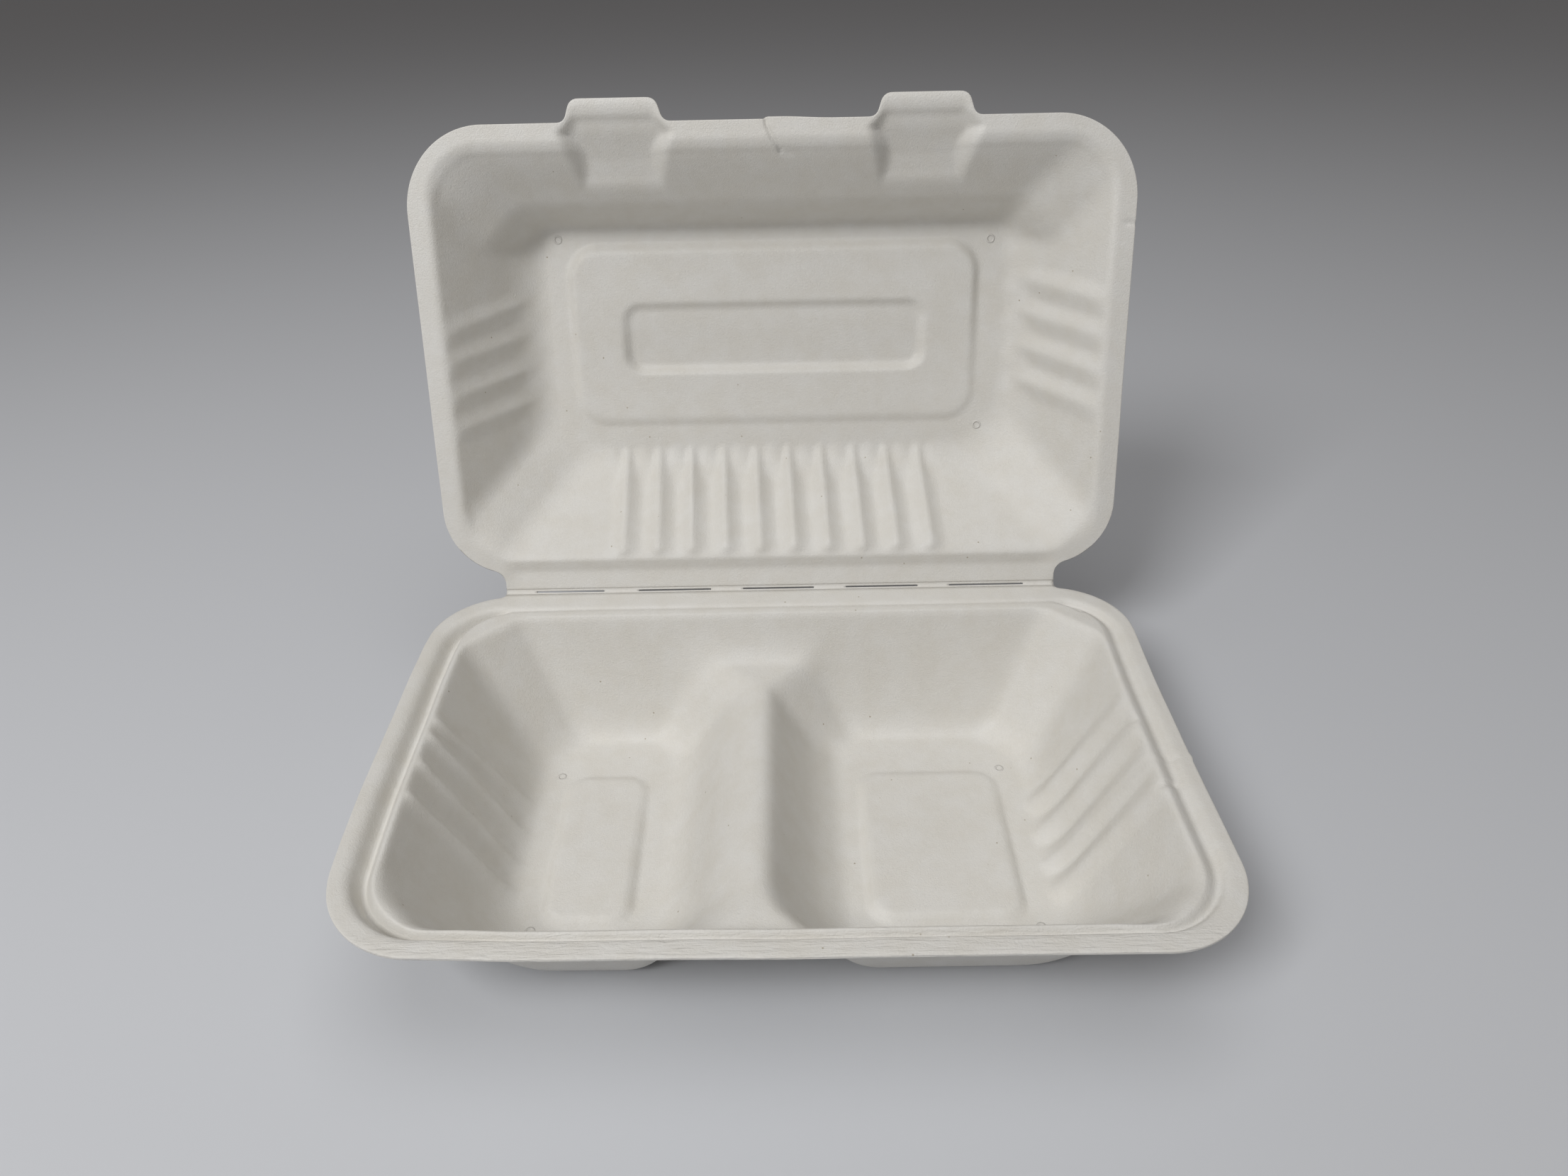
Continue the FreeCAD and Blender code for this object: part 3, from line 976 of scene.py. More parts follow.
def soften_cut_edge(bm: bmesh.types.BMesh, wanted: Callable[[Vector], bool]) -> None:
    """Round the two edges of the cut rim a little.

    Args:
        bm: the sheet with its thickness.
        wanted: says of a point whether it lies on an edge to round.
    """
    cut = bm.verts.layers.int["cut"]
    found = []
    for edge in bm.edges:
        rims = [all(v[cut] for v in f.verts) for f in edge.link_faces]
        if sorted(rims) == [False, True] and all(wanted(v.co) for v in edge.verts):
            found.append(edge)
    bmesh.ops.bevel(
        bm,
        geom=found,
        offset=CUT_ROUNDING * MM,
        offset_type="OFFSET",
        segments=2,
        profile=0.5,
        affect="EDGES",
        material=-1,
    )


def new_piece(name: str, bm: bmesh.types.BMesh) -> bpy.types.Object:
    """Make a smooth-shaded object of a mesh.

    Args:
        name: name of the piece.
        bm: its mesh, which is freed.

    Returns:
        The object, linked to the scene.
    """
    mesh = bpy.data.meshes.new(name)
    bm.to_mesh(mesh)
    bm.free()
    for polygon in mesh.polygons:
        polygon.use_smooth = True
    piece = bpy.data.objects.new(name, mesh)
    bpy.context.scene.collection.objects.link(piece)
    return piece


# ------------------------------------------------------------------ the tray
@dataclass(frozen=True)
class Bow:
    """How far one side of the trimmed sheet bows out, as soft sheets do once they are dry."""

    at_place: tuple
    outwards: tuple

    def at(self, place: Array) -> Array:
        """Outward bow in millimetres at places along the side."""
        return np.interp(place, self.at_place, self.outwards)


class Side(Enum):
    """The two compartments, with the sign of x in which each lies."""

    LEFT = -1
    RIGHT = 1


@dataclass
class Tray(Pressing):
    """Base with a groove and a bead round its rim and a ridge between two compartments.

    The groove has its depth as shares along the outlines' numbers. The crest of the divider has
    a depth and half of its width, and its flanks end half of the foot's width away from it.
    """

    name: str = "tray_shell"
    body: str = "tray"
    node: str = "base_tray"
    hollow: Hollow = Hollow(
        centre=0.65,
        side=103.85,
        near=14.8,
        far=143.8,
        depth=42.0,
        side_run=21.0,
        near_run=15.4,
        far_run=18.0,
        near_cut=(15.0, 13.0),
        far_cut=(13.5, 13.0),
        wall_reach=5.5,
        far_reach=9.0,
        left_ribs=tuple(
            Rib(floor, rim, height=2.5, half=5.4, power=1.9, tip=0.06, top=0.7, end=1.2)
            for floor, rim in ((62.5, 66.4), (74.8, 73.0), (87.5, 84.5), (98.0, 98.0))
        ),
        right_ribs=tuple(
            Rib(v, v - 2.0, height=4.2, half=6.0, power=1.2, tip=0.3, top=0.4, end=1.5)
            for v in (65.0, 77.0, 89.0, 99.8)
        ),
    )
    panels: tuple = tuple(
        Panel(
            (x, 80.4), (half, 31.4), radius=8.5,
            height=1.2, more=1.2, rows=(50.0, 95.0), bevel=(-0.2, 3.4),
        )
        for x, half in ((-57.25, 14.25), (47.75, 23.75))
    )
    waviness: Waviness = Waviness(0.2, (70.0, 0.4, 0.22), (23.0, 2.1, 0.05))
    nibs: tuple = ((-73.1, 49.0), (-73.0, 112.0), (72.6, 48.4), (73.6, 112.6))
    scars: tuple = (
        Scar(((104.3, 98.6), (108.5, 97.4)), 0.8, 0.8),
        Scar(((102.3, 69.5), (104.6, 71.5)), 0.7, 0.9),
        Scar(((97.5, 11.0), (101.5, 16.5)), 0.7, 0.7),
    )
    insets: tuple = (
        (2.4, 1.4, 0.8), (4.8, 2.4, 1.5), (6.7, 3.5, 2.3), (8.3, 4.8, 3.0), (10.4, 6.8, 4.8),
        (31.8, 22.0, 23.6), (36.0, 27.0, 28.0),
    )
    rings: tuple = (4, 4, 4, 4, 3, 4, 18, 4)
    columns: tuple = (
        (-75, 0.75), (-69, 1.25), (-45, 0.75), (-41, 1.3), (-20, 1.0), (3, 1.3), (22, 0.75),
        (26, 1.3), (69, 0.75), (75, 0),
    )
    rows: tuple = (
        (37.2, 1.1), (47, 0.75), (51, 1.0), (59, 0.9), (104, 1.1), (110, 0.75), (114, 1.1),
        (117.2, 0),
    )
    # The groove round the rim: it fades beside the fold and at the front, and is deeper on the
    # left than on the right.
    groove: float = 3.3
    groove_places: tuple = (0.0, 1.0, 1.6, 2.0, 2.4, 2.8, 3.25, 4.0, 4.8)
    groove_shares: tuple = (0.0, 0.03, 0.16, 0.42, 0.86, 1.0, 0.86, 0.3, 0.0)
    groove_span: tuple = (-1.0, 9.0)
    smooth_step: float = 0.05
    smooth_points: int = 11
    groove_fades: tuple = (
        Zone(0.8, rows=(24.0, 12.0), columns=(100.0, 92.0)),
        Zone(0.45, rows=(141.0, 145.0), columns=(100.0, 84.0)),
    )
    groove_sides: tuple = (60.0, 100.0)
    left_deeper: float = 0.5
    right_shallower: float = 0.4
    # How softly the bead rolls over into the walls, and how much more so in the front corners.
    bead_roll: float = 1.6
    bead_place: tuple = (3.6, 5.0)
    corner_roll: Zone = Zone(3.0, rows=(118.0, 134.0), columns=(78.0, 94.0))
    # The divider: where its crest lies, its blends into the flanks, and how far they sag.
    divider: float = -8.6
    crest: float = 15.0
    crest_half: float = 5.4
    crest_reach: tuple = (12.0, 5.0)
    foot_half: float = 22.5
    left_sag: float = -0.1
    right_sag: float = 0.2
    # The corners where the divider meets the near and the far wall, and its blend into them,
    # which is wider where they are shallow.
    corner_cut: tuple = (15.0, 9.5)
    corner_reach: tuple = (4.0, 9.0)
    divider_reach: tuple = (5.0, 8.0)
    shallow: tuple = (30.0, 16.0)
    floor_reach: float = 10.5
    tighter: float = 1.5
    tighter_rows: tuple = (48.0, 34.0)
    wave_rows: tuple = (0.0, 40.0)
    wave_depths: tuple = (40.0, 20.0)
    # The bow of the dried sheet's edges, which comes in over these columns and rows.
    left_bow: Bow = Bow(
        (5, 18, 30, 45, 65, 95, 115, 131, 145), (0, 0.8, 1.6, 1.7, 1.0, 0.3, -0.7, -1.9, -2.4)
    )
    right_bow: Bow = Bow(
        (5, 18, 28, 54, 86, 88.2, 89.4, 92), (0, 0.7, 1.2, 0.2, 0.0, 0.4, 0.0, 0.0)
    )
    front_bow: Bow = Bow((-110, -97, -88, -66, -33, 0), (-2.9, -2.7, -2.1, -1.3, -1.0, -0.6))
    bow_columns: tuple = (0, 115)
    bow_rows: tuple = (60, 150)

    def outlines(self) -> list:
        """Outlines of the flange.

        Returns:
            The outlines, from the cut edge to the inner edge.
        """
        trim = Trim(
            half=self.half, near=SEAM, far=self.far, near_radius=22.0, far_radius=26.0,
            neck_radius=2.0, shoulder=2.5,
        )
        return [trim, Outline(half=113.0, near=8.0, far=147.3, near_radius=20.0, far_radius=24.0)]

    def rim(self, x: Array, v: Array, station: Array) -> Array:
        """Depth of the rim's groove, which runs out beside the fold.

        Args:
            x: places along the fold.
            v: places away from the fold.
            station: number of the outline on which each point lies.

        Returns:
            Depths below the rim.
        """
        places = np.arange(*self.groove_span, self.smooth_step)
        profile = np.interp(places, self.groove_places, self.groove_shares)
        kernel = np.hanning(self.smooth_points)
        shape = np.interp(station, places, np.convolve(profile, kernel / kernel.sum(), "same"))
        fade = math.prod(1 - zone.at(x, v) for zone in self.groove_fades)
        left, right = ease(*self.groove_sides, -x), ease(*self.groove_sides, x)
        side = 1 + self.left_deeper * left - self.right_shallower * right
        return self.groove * shape * fade * side

    def compartment(self, x: Array, v: Array, side: Side) -> Array:
        """Depth of one compartment's slope up to the divider.

        Args:
            x: places along the fold.
            v: places away from the fold.
            side: which compartment.

        Returns:
            Depths below the rim.
        """
        hollow = self.hollow
        rise = hollow.depth - self.crest
        foot = self.foot_half - self.crest_half
        away = side.value * (x - self.divider) - self.crest_half
        most = self.right_sag if side is Side.RIGHT else self.left_sag
        sag = np.maximum(away * (foot - away), 0.0) / foot**2 * most
        slope = self.crest + (away / foot + sag) * rise
        share = rise / hollow.depth
        from_near = v - hollow.near - (1 - share) * hollow.near_run
        from_far = hollow.far - (1 - share) * hollow.far_run - v
        at_rim, at_floor = self.corner_cut
        runs = ((from_near, hollow.near_run), (from_far, hollow.far_run))
        for (inwards, wall_run), reach in zip(runs, self.corner_reach):
            run = foot + share * wall_run + at_floor - at_rim
            corner = self.crest + (away + inwards - at_rim) * rise / run
            slope = soft_min(slope, corner, reach)
        return slope

    def depths(self, x: Array, v: Array, station: Array) -> Array:
        """Depth of each point below the face of the rim.

        Args:
            x: places along the fold.
            v: places away from the fold.
            station: number of the outline on which each point lies.

        Returns:
            Depths in millimetres.
        """
        walls, _ = self.hollow.wall_depth(x, v)
        between = np.full_like(x, self.crest)
        for side, reach in zip(Side, self.crest_reach):
            between = soft_max(self.compartment(x, v, side), between, reach)
        shallow = ease(*self.shallow, np.minimum(walls, between))
        deep_reach, more = self.divider_reach
        depth = soft_min(walls, between, deep_reach + more * shallow)
        depth = self.on_floor(x, v, depth)
        roll = self.bead_roll + self.corner_roll.at(x, v)
        roll = roll * ease(*self.bead_place, station) + SHARP
        depth = soft_max(self.rim(x, v, station), depth, roll)
        depth = depth + sum(scar.at(x, v) for scar in self.scars)
        wavy = ease(*self.wave_rows, v) * ease(*self.wave_depths, depth)
        return depth + self.waviness.at(x, v) * wavy

    def placed(self, x: Array, v: Array, depth: Array) -> Array:
        """Points in the frame of the container.

        Args:
            x: places along the fold.
            v: places away from the fold.
            depth: depths below the rim.

        Returns:
            Points in metres.
        """
        left = ease(*self.bow_columns, -x) * self.left_bow.at(v)
        right = ease(*self.bow_columns, x) * self.right_bow.at(v)
        x = x - left + right
        v = v + self.front_bow.at(x) * ease(*self.bow_rows, v)
        local = np.stack([x, -v, -depth - RIM_GAP], axis=-1) * MM
        return local + np.array(HINGE)

    def opening(self) -> Vector:
        """Direction in which the hollow opens."""
        return Vector((0, 0, 1))

    def in_seam(self, co: Vector) -> bool:
        """Whether a point lies where the tray joins the fold."""
        return co.y > HINGE.y - SEAM_EDGE * MM


# ------------------------------------------------------------------ the lid
@dataclass
class Lid(Pressing):
    """Lid with a ledge inside its flange, a two-step panel, flutes and two lift tabs.

    The ledge slopes down with its distance in from the flange, which is given at the outlines'
    numbers, and a shallow furrow runs beside the fold.
    """

    name: str = "lid_shell"
    body: str = "lid"
    node: str = "lid"
    hollow: Hollow = Hollow(
        centre=0.0,
        side=108.7,
        near=12.6,
        far=144.4,
        depth=33.0,
        side_run=21.8,
        near_run=26.3,
        far_run=21.5,
        near_cut=(13.0, 13.0),
        far_cut=(11.5, 8.0),
        wall_reach=3.6,
        far_reach=3.6,
        left_ribs=tuple(
            Rib(floor, rim, height=1.7, half=5.9, power=1.6, tip=0.16, top=0.7, end=1.4)
            for floor, rim in ((98.6, 88.6), (87.2, 78.9), (75.6, 67.5), (64.2, 56.5))
        ),
        right_ribs=tuple(
            Rib(v, v - 8.0, height=3.0, half=5.9, power=1.3, tip=0.24, top=0.8, end=1.6)
            for v in (68.2, 80.0, 91.8, 103.1)
        ),
        near_ribs=tuple(
            Rib(
                -55.6 + 11.95 * n, -54.0 + 11.95 * n,
                height=4.8, half=6.2, power=1.7, tip=0.06, top=0.8,
            )
            for n in range(10)
        ),
        far_bend=(0.76, 18.6, 4.0),
    )
    panels: tuple = (
        Panel(
            (-0.4, 85.2), (73.2, 32.2), radius=12.0,
            height=1.0, more=2.0, rows=(62.0, 112.0), bevel=(-0.2, 3.6),
        ),
        Panel(
            (-0.4, 84.6), (54.2, 12.7), radius=7.0,
            height=-1.7, more=-1.2, rows=(94.0, 74.0), bevel=(-0.2, 3.1),
        ),
    )
    waviness: Waviness = Waviness(0.15, (80.0, 1.3, 0.25), (25.0, 0.2, 0.06))
    nibs: tuple = ((-75.5, 118.8), (76.1, 116.4), (73.5, 51.5))
    scars: tuple = (
        Scar(((-1.5, 153.5), (-0.9, 149.3), (0.6, 146.4), (3.2, 143.0)), 1.1, 0.45),
        Scar(((3.2, 143.0), (6.0, 142.2)), 0.4, 0.9),
        Scar(((113.0, 119.5), (117.0, 119.0)), 0.4, 0.8),
    )
    insets: tuple = ((3.6, 3.6, 3.6), (5.6, 6.0, 5.6), (22.0, 28.0, 20.0), (30.0, 37.0, 25.0))
    rings: tuple = (2, 4, 4, 5, 3, 20, 5)
    columns: tuple = (
        (-78, 0.9), (-70, 0.95), (-66.5, 0.75), (-58, 1.2), (-39, 0.75), (-30, 1.1), (-3, 0.45),
        (2.8, 1.1), (30, 0.75), (39, 1.2), (58, 0.75), (66.5, 0.95), (70, 0.9), (78, 0),
    )
    rows: tuple = (
        (47.5, 1.2), (51, 0.7), (55, 1.05), (71, 0.7), (74.4, 1.05), (95.4, 0.7), (99, 1.05),
        (115, 0.6), (120, 0),
    )
    tabs: tuple = (-48.5, 48.5)
    tab_reach: float = 6.8
    floor_reach: float = 11.0
    tighter: float = 6.5
    tighter_rows: tuple = (112.0, 122.0)
    # Ribs of this height keep their feet crisper, by this share.
    crisp_height: float = 2.0
    crisp_share: float = 0.55
    ledge_outlines: tuple = (3.0, 4.0, 5.0, 6.0)
    ledge_inwards: tuple = (0.0, 3.6, 5.6, 22.0)
    ledge_slope: float = 0.62
    ledge_bend: float = 2.0
    ledge_rows: tuple = (13.0, 30.0)
    ledge_roll: float = 2.6
    ledge_place: tuple = (3.2, 4.6)
    furrow_rows: tuple = (1.5, 6.9, 7.6, 11.4)
    furrow_depths: tuple = (0.0, 0.9, 0.9, 0.0)
    furrow_columns: tuple = (98, 90)
    # The pockets behind the tabs: depth and half of the width along the rows.
    pocket_rows: tuple = (100.0, 131.0, 137.0, 142.0, 146.0, 149.5, 152.6, 154.3, 155.8)
    pocket_depths: tuple = (-30.0, 13.0, 10.7, 8.2, 5.6, 3.2, 1.9, 0.4, -1.0)
    pocket_width_rows: tuple = (134.0, 138.0, 149.0, 153.0, 155.0)
    pocket_half_widths: tuple = (13.0, 14.2, 17.6, 13.6, 12.4)
    pocket_slope: float = 1.1
    pocket_reach: float = 1.6
    wave_rows: tuple = (0.0, 40.0)
    # The stretch of the front edge beside the crack, which is pushed out.
    torn_reach: float = 0.6
    torn_start: tuple = (-1.75, -1.3)
    torn_end: tuple = (20.0, 3.0)
    torn_rows: tuple = (143.0, 151.0)

    def outlines(self) -> list:
        """Outlines of the flange.

        Returns:
            The outlines, from the cut edge to the inner edge.
        """
        trim = Trim(
            half=self.half, near=SEAM, far=self.far, near_radius=22.0, far_radius=26.0,
            neck_radius=5.0, shoulder=7.0, tabs=self.tabs, tab_reach=self.tab_reach,
        )
        edge = Outline(half=110.5, near=7.6, far=147.3, near_radius=16.7, far_radius=18.6)
        lip = Between(trim, edge, share=0.17, tab_reach=3.3)
        step = Between(trim, edge, share=0.43, tab_reach=2.6)
        return [trim, lip, step, edge]

    def depths(self, x: Array, v: Array, station: Array) -> Array:
        """Depth of each point below the face of the rim.

        Args:
            x: places along the fold.
            v: places away from the fold.
            station: number of the outline on which each point lies.

        Returns:
            Depths in millimetres.
        """
        walls, ribs = self.hollow.wall_depth(x, v)
        crisp = self.crisp_share * np.clip(ribs / self.crisp_height, 0, 1)
        depth = self.on_floor(x, v, walls, crisp)
        inwards = np.interp(station, self.ledge_outlines, self.ledge_inwards)
        bend = self.ledge_bend
        ledge = self.ledge_slope * (np.sqrt(inwards**2 + bend**2) - bend)
        ledge = ledge * ease(*self.ledge_rows, v)
        furrow = np.interp(v, self.furrow_rows, self.furrow_depths)
        furrow = furrow * ease(*self.furrow_columns, np.abs(x))
        roll = self.ledge_roll * ease(*self.ledge_place, station) + SHARP
        depth = soft_max(ledge + furrow, depth, roll)
        depth = self.with_pockets(x, v, depth) + sum(scar.at(x, v) for scar in self.scars)
        return depth + self.waviness.at(x, v) * ease(*self.wave_rows, v)

    def with_pockets(self, x: Array, v: Array, depth: Array) -> Array:
        """Press the pockets behind the two tabs.

        Args:
            x: places along the fold.
            v: places away from the fold.
            depth: depths without them.

        Returns:
            The depths with them.
        """
        ramp = np.interp(v, self.pocket_rows, self.pocket_depths)
        wide = np.interp(v, self.pocket_width_rows, self.pocket_half_widths)
        for centre in self.tabs:
            flank = (wide - np.abs(x - centre)) * self.pocket_slope
            pressed = soft_min(ramp - depth, flank, self.pocket_reach)
            depth = depth + soft_max(pressed, 0.0, self.pocket_reach)
        return depth

    def placed(self, x: Array, v: Array, depth: Array) -> Array:
        """Points in the frame of the container, with the torn stretch of the edge moved out.

        Args:
            x: places along the fold.
            v: places away from the fold.
            depth: depths below the rim.

        Returns:
            Points in metres.
        """
        torn = self.torn_reach * ease(*self.torn_start, x) * ease(*self.torn_end, x)
        v = v + torn * ease(*self.torn_rows, v)
        rise, run = math.sin(LID_RISE), math.cos(LID_RISE)
        back = depth + RIM_GAP
        local = np.stack([x, v * run + back * rise, v * rise - back * run], axis=-1) * MM
        return local + np.array(HINGE)

    def opening(self) -> Vector:
        """Direction in which the hollow opens."""
        return Vector((0, -math.sin(LID_RISE), math.cos(LID_RISE)))

    def in_seam(self, co: Vector) -> bool:
        """Whether a point lies where the lid joins the fold."""
        off = co - HINGE
        return off.y * math.cos(LID_RISE) + off.z * math.sin(LID_RISE) < SEAM_EDGE * MM


# ------------------------------------------------------------------ the fold
@dataclass
class Fold:
    """Strip that joins the two halves, weakened by slits so that it bends on one line.

    Its rows are steps round the bend and its step is the widest one between columns.
    Its blend_half is not used.
    """

    half: float = NECK
    slit_half: float = 0.25
    rows: int = 12
    step: float = 1.2
    fine_rows: int = 401
    blend_half: float = 0.6
    slits: tuple = ((-85.8, -61.9), (-49.7, -24.2), (-12.9, 12.1), (23.4, 48.7), (59.8, 85.8))

    def columns(self) -> Array:
        """Places across the strip, with one at each end of each slit.

        Returns:
            The places.
        """
        ends = [-self.half, *[e for slit in self.slits for e in slit], self.half]
        runs = [
            np.linspace(a, b, max(2, round((b - a) / self.step)) + 1)
            for a, b in zip(ends, ends[1:])
        ]
        return np.unique(np.round(np.concatenate(runs), 4))

    def section(self, share: Array) -> Array:
        """Inner face of the bend, from the tray at -1 to the lid at 1.

        Args:
            share: places round the bend.

        Returns:
            Distances behind the hinge and heights above it, in millimetres.
        """
        rise, run = math.sin(LID_RISE), math.cos(LID_RISE)
        start = np.array([-SEAM, -RIM_GAP])
        end = np.array([SEAM * run + RIM_GAP * rise, SEAM * rise - RIM_GAP * run])
        back = (end[1] + RIM_GAP) / rise
        bend = np.array([end[0] - back * run, -RIM_GAP])
        t = ((share + 1) / 2)[:, None]
        return start * (1 - t) ** 2 + 2 * bend * t * (1 - t) + end * t**2

    def build(self, finish: bpy.types.Material) -> bpy.types.Object:
        """Bend the strip, cut its slits, give it its thickness and dress it.

        Args:
            finish: its material.

        Returns:
            The finished piece.
        """
        columns = self.columns()
        shares = np.linspace(-1, 1, self.rows + 1)
        section = self.section(shares)
        grid = np.zeros((len(columns), len(shares), 3))
        grid[..., 0] = columns[:, None]
        grid[..., 1:] = section
        bm = bmesh.new()
        bmesh.ops.create_grid(bm, x_segments=len(columns) - 1, y_segments=self.rows, size=0.5)
        seat(bm, grid * MM + np.array(HINGE))
        middle = section[self.rows // 2]
        gone = [f for f in bm.faces if self.in_slit(f, middle)]
        bmesh.ops.delete(bm, geom=gone, context="FACES")
        self.thicken(bm)
        piece = new_piece("fold_strip", bm)
        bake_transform(piece)
        piece.data.materials.append(finish)
        return piece

    def thicken(self, bm: bmesh.types.BMesh) -> None:
        """Give the bent strip its thickness on the outside of the bend.

        Args:
            bm: the strip.
        """
        section = self.section(np.linspace(-1, 1, self.fine_rows))
        normal = np.gradient(section, axis=0)[:, ::-1] * [1, -1]
        normal /= np.linalg.norm(normal, axis=1)[:, None]
        moves = {}
        for vert in bm.verts:
            off = (vert.co - HINGE) / MM
            nearest = int(np.argmin(np.hypot(section[:, 0] - off.y, section[:, 1] - off.z)))
            moves[place_key(vert.co)] = Vector((0, *normal[nearest])) * SHEET * MM
        double(bm, moves)

    def in_slit(self, face: bmesh.types.BMFace, middle: Array) -> bool:
        """Whether a face of the strip lies in a slit.

        Args:
            face: the face.
            middle: the middle of the section.

        Returns:
            True if the slit takes it away.
        """
        centre = (face.calc_center_median() - HINGE) / MM
        off = math.hypot(centre.y - middle[0], centre.z - middle[1])
        return off < self.slit_half and any(a < centre.x < b for a, b in self.slits)


# ------------------------------------------------------------------ finish
def srgb(code: str) -> tuple:
    """Linear colour of an sRGB hex value.

    Args:
        code: six hex digits.

    Returns:
        Red, green, blue and an alpha of 1.
    """
    parts = [int(code[n : n + 2], 16) / 255 for n in (0, 2, 4)]
    linear = [c / 12.92 if c <= 0.04045 else ((c + 0.055) / 1.055) ** 2.4 for c in parts]
    return (*linear, 1.0)


def add_node(
    tree: NodeTree, kind: str, settings: dict, links: dict, output: int | str = 0
) -> Socket | None:
    """Add a node with its settings and links.

    Args:
        tree: node tree of the material.
        kind: type of the node, without the ShaderNode in front.
        settings: its properties by name and its inputs' values by number or name.
        links: output sockets that feed its inputs, by number or name.
        output: number or name of the output that is wanted.

    Returns:
        That output, or None for a node that has no outputs.
    """
    node = tree.nodes.new("ShaderNode" + kind)
    for key, value in settings.items():
        if isinstance(key, str) and hasattr(node, key):
            setattr(node, key, value)
        else:
            node.inputs[key].default_value = value
    for key, socket in links.items():
        tree.links.new(socket, node.inputs[key])
    return node.outputs[output] if node.outputs else None


@dataclass(frozen=True)
class MouldedPulp:
    """Moulded sugar-cane pulp, bleached and hot-pressed between meshes.

    To the eye it is a warm off-white with faint clouds where the pulp lay thicker, a few specks
    of unbleached cane, and no gloss but a broad soft sheen. Short matted fibres and the print of
    the mesh roughen it, and the fibres of the front rim lie along the cut.

    All sizes are in millimetres. A fibre is about 1 mm long but only some 0.02 mm across, and
    the print of the mesh about 0.3 mm, both too fine to show: they are drawn as lumps of 1.1 and
    0.5 mm, as coarse as they need to be. The radii of a speck are shares of the spacing.
    """

    name: str = "moulded_sugarcane_pulp"
    pale: str = "DAD8D3"
    warm: str = "D6D3CC"
    speck: str = "A89F8E"
    roughness: float = 0.5
    ior: float = 1.5
    cloud: float = 9.0
    cloud_tones: tuple = (0.35, 0.65)
    fibre: float = 1.1
    grain: float = 0.5
    speck_spacing: float = 9.0
    speck_radii: tuple = (0.04, 0.02)
    streak: float = 0.9
    streak_stretch: float = 0.14
    streak_rows: tuple = (-100.0, -104.0)
    streak_height: float = 3.0
    nib_radius: float = 1.2
    nib_line: tuple = (0.4, 0.05)
    nib_height: float = 2.4
    relief: float = 0.16
    relief_strength: float = 0.8

    def make(self, nibs: Array) -> bpy.types.Material:
        """Build the material.

        Args:
            nibs: places of the small rings that the release pins leave, in metres.

        Returns:
            The material.
        """
        material = bpy.data.materials.new(self.name)
        material.use_nodes = True
        tree = material.node_tree
        tree.nodes.clear()
        place = add_node(tree, "TexCoord", {}, {}, "Object")
        matted = add_node(
            tree,
            "TexNoise",
            {"Scale": 1 / (self.fibre * MM), "Detail": 5.0, "Roughness": 0.65, "Distortion": 1.2},
            {"Vector": place},
        )
        printed = add_node(
            tree,
            "TexNoise",
            {"Scale": 1 / (self.grain * MM), "Detail": 3.0, "Roughness": 0.7},
            {"Vector": place},
        )
        height = add_node(tree, "Math", {"operation": "ADD"}, {0: matted, 1: printed})
        height = add_node(
            tree,
            "Math",
            {"operation": "MULTIPLY_ADD", 1: self.nib_height},
            {0: self.nib_rings(tree, place, nibs), 2: self.with_streaks(tree, place, height)},
        )
        normal = add_node(
            tree,
            "Bump",
            {"Strength": self.relief_strength, "Distance": self.relief * MM},
            {"Height": height},
        )
        shader = add_node(
            tree,
            "BsdfPrincipled",
            {"Roughness": self.roughness, "IOR": self.ior},
            {"Base Color": self.clouds_and_specks(tree, place), "Normal": normal},
        )
        add_node(tree, "OutputMaterial", {}, {"Surface": shader})
        return material

    def clouds_and_specks(self, tree: NodeTree, place: Socket) -> Socket:
        """Colour of the pulp, with its faint clouds and its specks of cane.

        Args:
            tree: node tree of the material.
            place: socket that gives the place on the piece.

        Returns:
            Socket of the colour.
        """
        settings = {"Scale": 1 / (self.cloud * MM), "Detail": 4.0, "Roughness": 0.6}
        cloud = add_node(tree, "TexNoise", settings, {"Vector": place})
        start, end = self.cloud_tones
        tone = add_node(tree, "MapRange", {"From Min": start, "From Max": end}, {"Value": cloud})
        settings = {"data_type": "RGBA", 6: srgb(self.pale), 7: srgb(self.warm)}
        base = add_node(tree, "Mix", settings, {0: tone}, 2)
        settings = {"Scale": 1 / (self.speck_spacing * MM)}
        cells = add_node(tree, "TexVoronoi", settings, {"Vector": place}, "Distance")
        start, end = self.speck_radii
        dots = add_node(tree, "MapRange", {"From Min": start, "From Max": end}, {"Value": cells})
        settings = {"data_type": "RGBA", 7: srgb(self.speck)}
        return add_node(tree, "Mix", settings, {0: dots, 6: base}, 2)

    def with_streaks(self, tree: NodeTree, place: Socket, height: Socket) -> Socket:
        """Add the long fibres that lie along the front rim, where the wet sheet was trimmed.

        Args:
            tree: node tree of the material.
            place: socket that gives the place on the piece.
            height: socket that gives the height of the fibres elsewhere.

        Returns:
            Socket of the height with them.
        """
        stretch = {"Scale": (self.streak_stretch, 1.0, 1.0)}
        drawn = add_node(tree, "Mapping", stretch, {"Vector": place})
        settings = {"Scale": 1 / (self.streak * MM), "Detail": 2.0, "Distortion": 0.6}
        streak = add_node(tree, "TexNoise", settings, {"Vector": drawn})
        row = add_node(tree, "SeparateXYZ", {}, {0: place}, "Y")
        start, end = (edge * MM for edge in self.streak_rows)
        settings = {"From Min": start, "From Max": end, "To Max": self.streak_height}
        front = add_node(tree, "MapRange", settings, {"Value": row})
        settings = {"operation": "MULTIPLY_ADD"}
        return add_node(tree, "Math", settings, {0: front, 1: streak, 2: height})

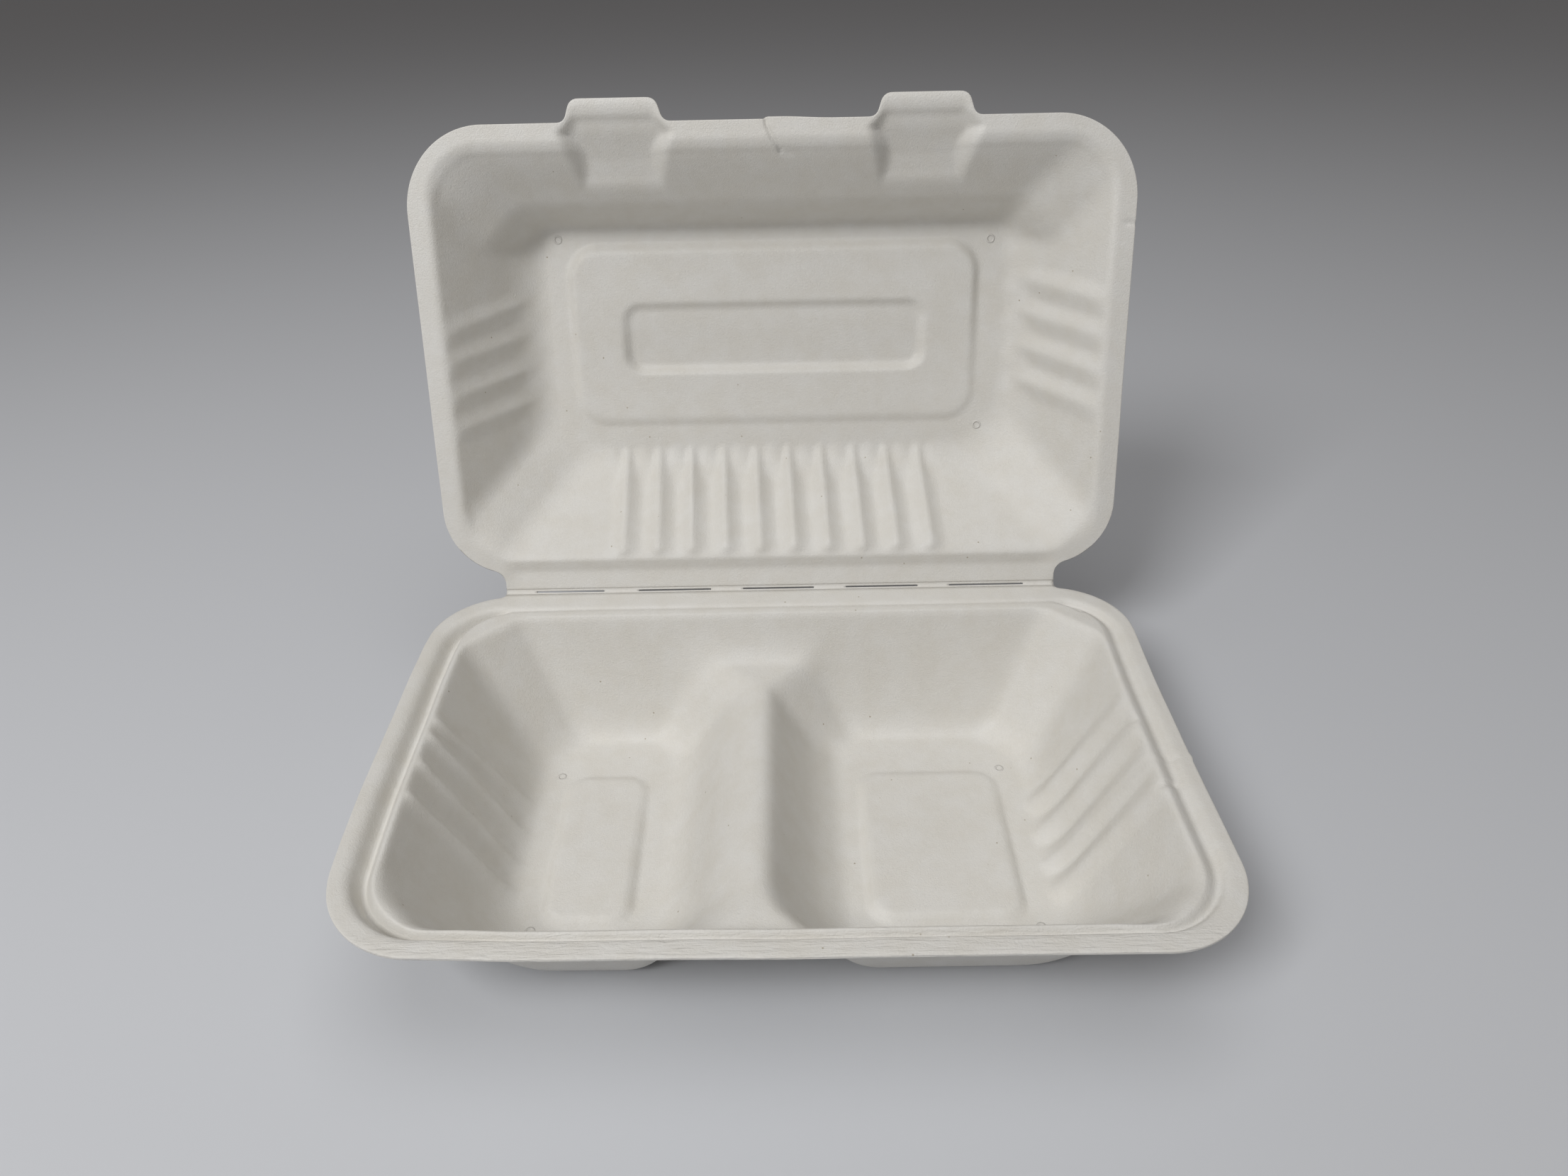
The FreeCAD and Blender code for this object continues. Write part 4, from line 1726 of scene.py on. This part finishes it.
    def nib_rings(self, tree: NodeTree, place: Socket, nibs: Array) -> Socket:
        """Height of the small rings round the marks of the release pins.

        Args:
            tree: node tree of the material.
            place: socket that gives the place on the piece.
            nibs: middle of each mark, in metres.

        Returns:
            Socket that is 1 on a ring and 0 away from it.
        """
        nearest = None
        for nib in nibs:
            settings = {"operation": "DISTANCE", 1: tuple(nib)}
            off = add_node(tree, "VectorMath", settings, {0: place}, "Value")
            if nearest is not None:
                off = add_node(tree, "Math", {"operation": "MINIMUM"}, {0: off, 1: nearest})
            nearest = off
        settings = {"operation": "SUBTRACT", 1: self.nib_radius * MM}
        away = add_node(tree, "Math", settings, {0: nearest})
        gap = add_node(tree, "Math", {"operation": "ABSOLUTE"}, {0: away})
        start, end = (edge * MM for edge in self.nib_line)
        return add_node(tree, "MapRange", {"From Min": start, "From Max": end}, {"Value": gap})


@dataclass(frozen=True)
class MattCard:
    """Uncoated pale grey card: an even, cool, dull floor that shows soft shadows."""

    name: str = "matt_card"
    colour: str = "CACCD0"
    roughness: float = 0.9

    def make(self) -> bpy.types.Material:
        """Build the material.

        Returns:
            The material.
        """
        material = bpy.data.materials.new(self.name)
        material.use_nodes = True
        shader = material.node_tree.nodes["Principled BSDF"]
        shader.inputs["Base Color"].default_value = srgb(self.colour)
        shader.inputs["Roughness"].default_value = self.roughness
        return material


# ------------------------------------------------------------------ studio
@dataclass
class Studio:
    """Plain pale floor, soft light and the camera.

    The floor and the lamps are in metres, the lamps each with a place, a side and a power in
    watts. The eye of the camera is in millimetres, its turns in degrees.
    """

    floor: MattCard = MattCard()
    floor_half: float = 6.0
    room: str = "F1EBE7"
    room_strength: float = 0.16
    lamps: tuple = (
        ("softbox_front_left", (-0.54, -0.67, 0.96), 0.4, 8.9),
        ("softbox_overhead", (0.05, -0.1, 1.3), 1.0, 4.5),
    )
    aim: tuple = (0.0, 0.0, 0.05)
    eye: tuple = (3.8, -256.4, 245.1)
    yaw: float = -0.431
    pitch: float = 34.106
    roll: float = -1.270
    lens: float = 23.42
    sensor: float = 36.0

    def set_up(self) -> None:
        """Build the floor, the lights and the camera."""
        bpy.context.scene.view_settings.view_transform = "Standard"
        self.add_floor()
        self.add_lights()
        self.add_camera()

    def add_floor(self) -> None:
        """Lay a wide matt floor under the container."""
        bm = bmesh.new()
        bmesh.ops.create_grid(bm, x_segments=1, y_segments=1, size=self.floor_half)
        floor = new_piece("floor", bm)
        floor.data.materials.append(self.floor.make())

    def add_lights(self) -> None:
        """Hang a soft lamp in front to the left, a wide one overhead, and light the room."""
        world = bpy.data.worlds.new("room")
        bpy.context.scene.world = world
        world.use_nodes = True
        background = world.node_tree.nodes["Background"]
        background.inputs["Color"].default_value = srgb(self.room)
        background.inputs["Strength"].default_value = self.room_strength
        for lamp in self.lamps:
            self.add_lamp(*lamp)

    def add_lamp(self, name: str, place: tuple, size: float, power: float) -> None:
        """Hang one square soft lamp that faces the container.

        Args:
            name: name of the lamp.
            place: where it hangs, in metres.
            size: its side, in metres.
            power: its power, in watts.
        """
        lamp = bpy.data.lights.new(name, "AREA")
        lamp.shape = "SQUARE"
        lamp.size = size
        lamp.energy = power
        holder = bpy.data.objects.new(name, lamp)
        holder.location = place
        facing = Vector(self.aim) - Vector(place)
        holder.rotation_euler = facing.to_track_quat("-Z", "Y").to_euler()
        bpy.context.scene.collection.objects.link(holder)

    def add_camera(self) -> None:
        """Set the camera above the front edge, looking down into the open container."""
        yaw, pitch, roll = (math.radians(a) for a in (self.yaw, self.pitch, self.roll))
        level = math.cos(pitch)
        ahead = Vector((math.sin(yaw) * level, math.cos(yaw) * level, -math.sin(pitch)))
        right = ahead.cross(Vector((0, 0, 1))).normalized()
        up = right.cross(ahead)
        side = right * math.cos(roll) + up * math.sin(roll)
        top = up * math.cos(roll) - right * math.sin(roll)
        camera = bpy.data.cameras.new("camera")
        camera.lens = self.lens
        camera.sensor_width = self.sensor
        holder = bpy.data.objects.new("camera", camera)
        turn = Matrix((side, top, -ahead)).transposed()
        holder.matrix_world = Matrix.Translation(Vector(self.eye) * MM) @ turn.to_4x4()
        bpy.context.scene.collection.objects.link(holder)
        bpy.context.scene.camera = holder


def main() -> None:
    """Build and dress each piece of the container, and light it."""
    logging.basicConfig(level=logging.INFO, format="%(name)s: %(message)s")
    tray, lid = Tray(), Lid()
    finish = MouldedPulp().make(np.vstack([tray.nib_places(), lid.nib_places()]))
    for part in (tray, lid, Fold()):
        piece = part.build(finish)
        LOG.info("%s: %d faces", piece.name, len(piece.data.polygons))
    Studio().set_up()


if __name__ == "__main__":
    main()
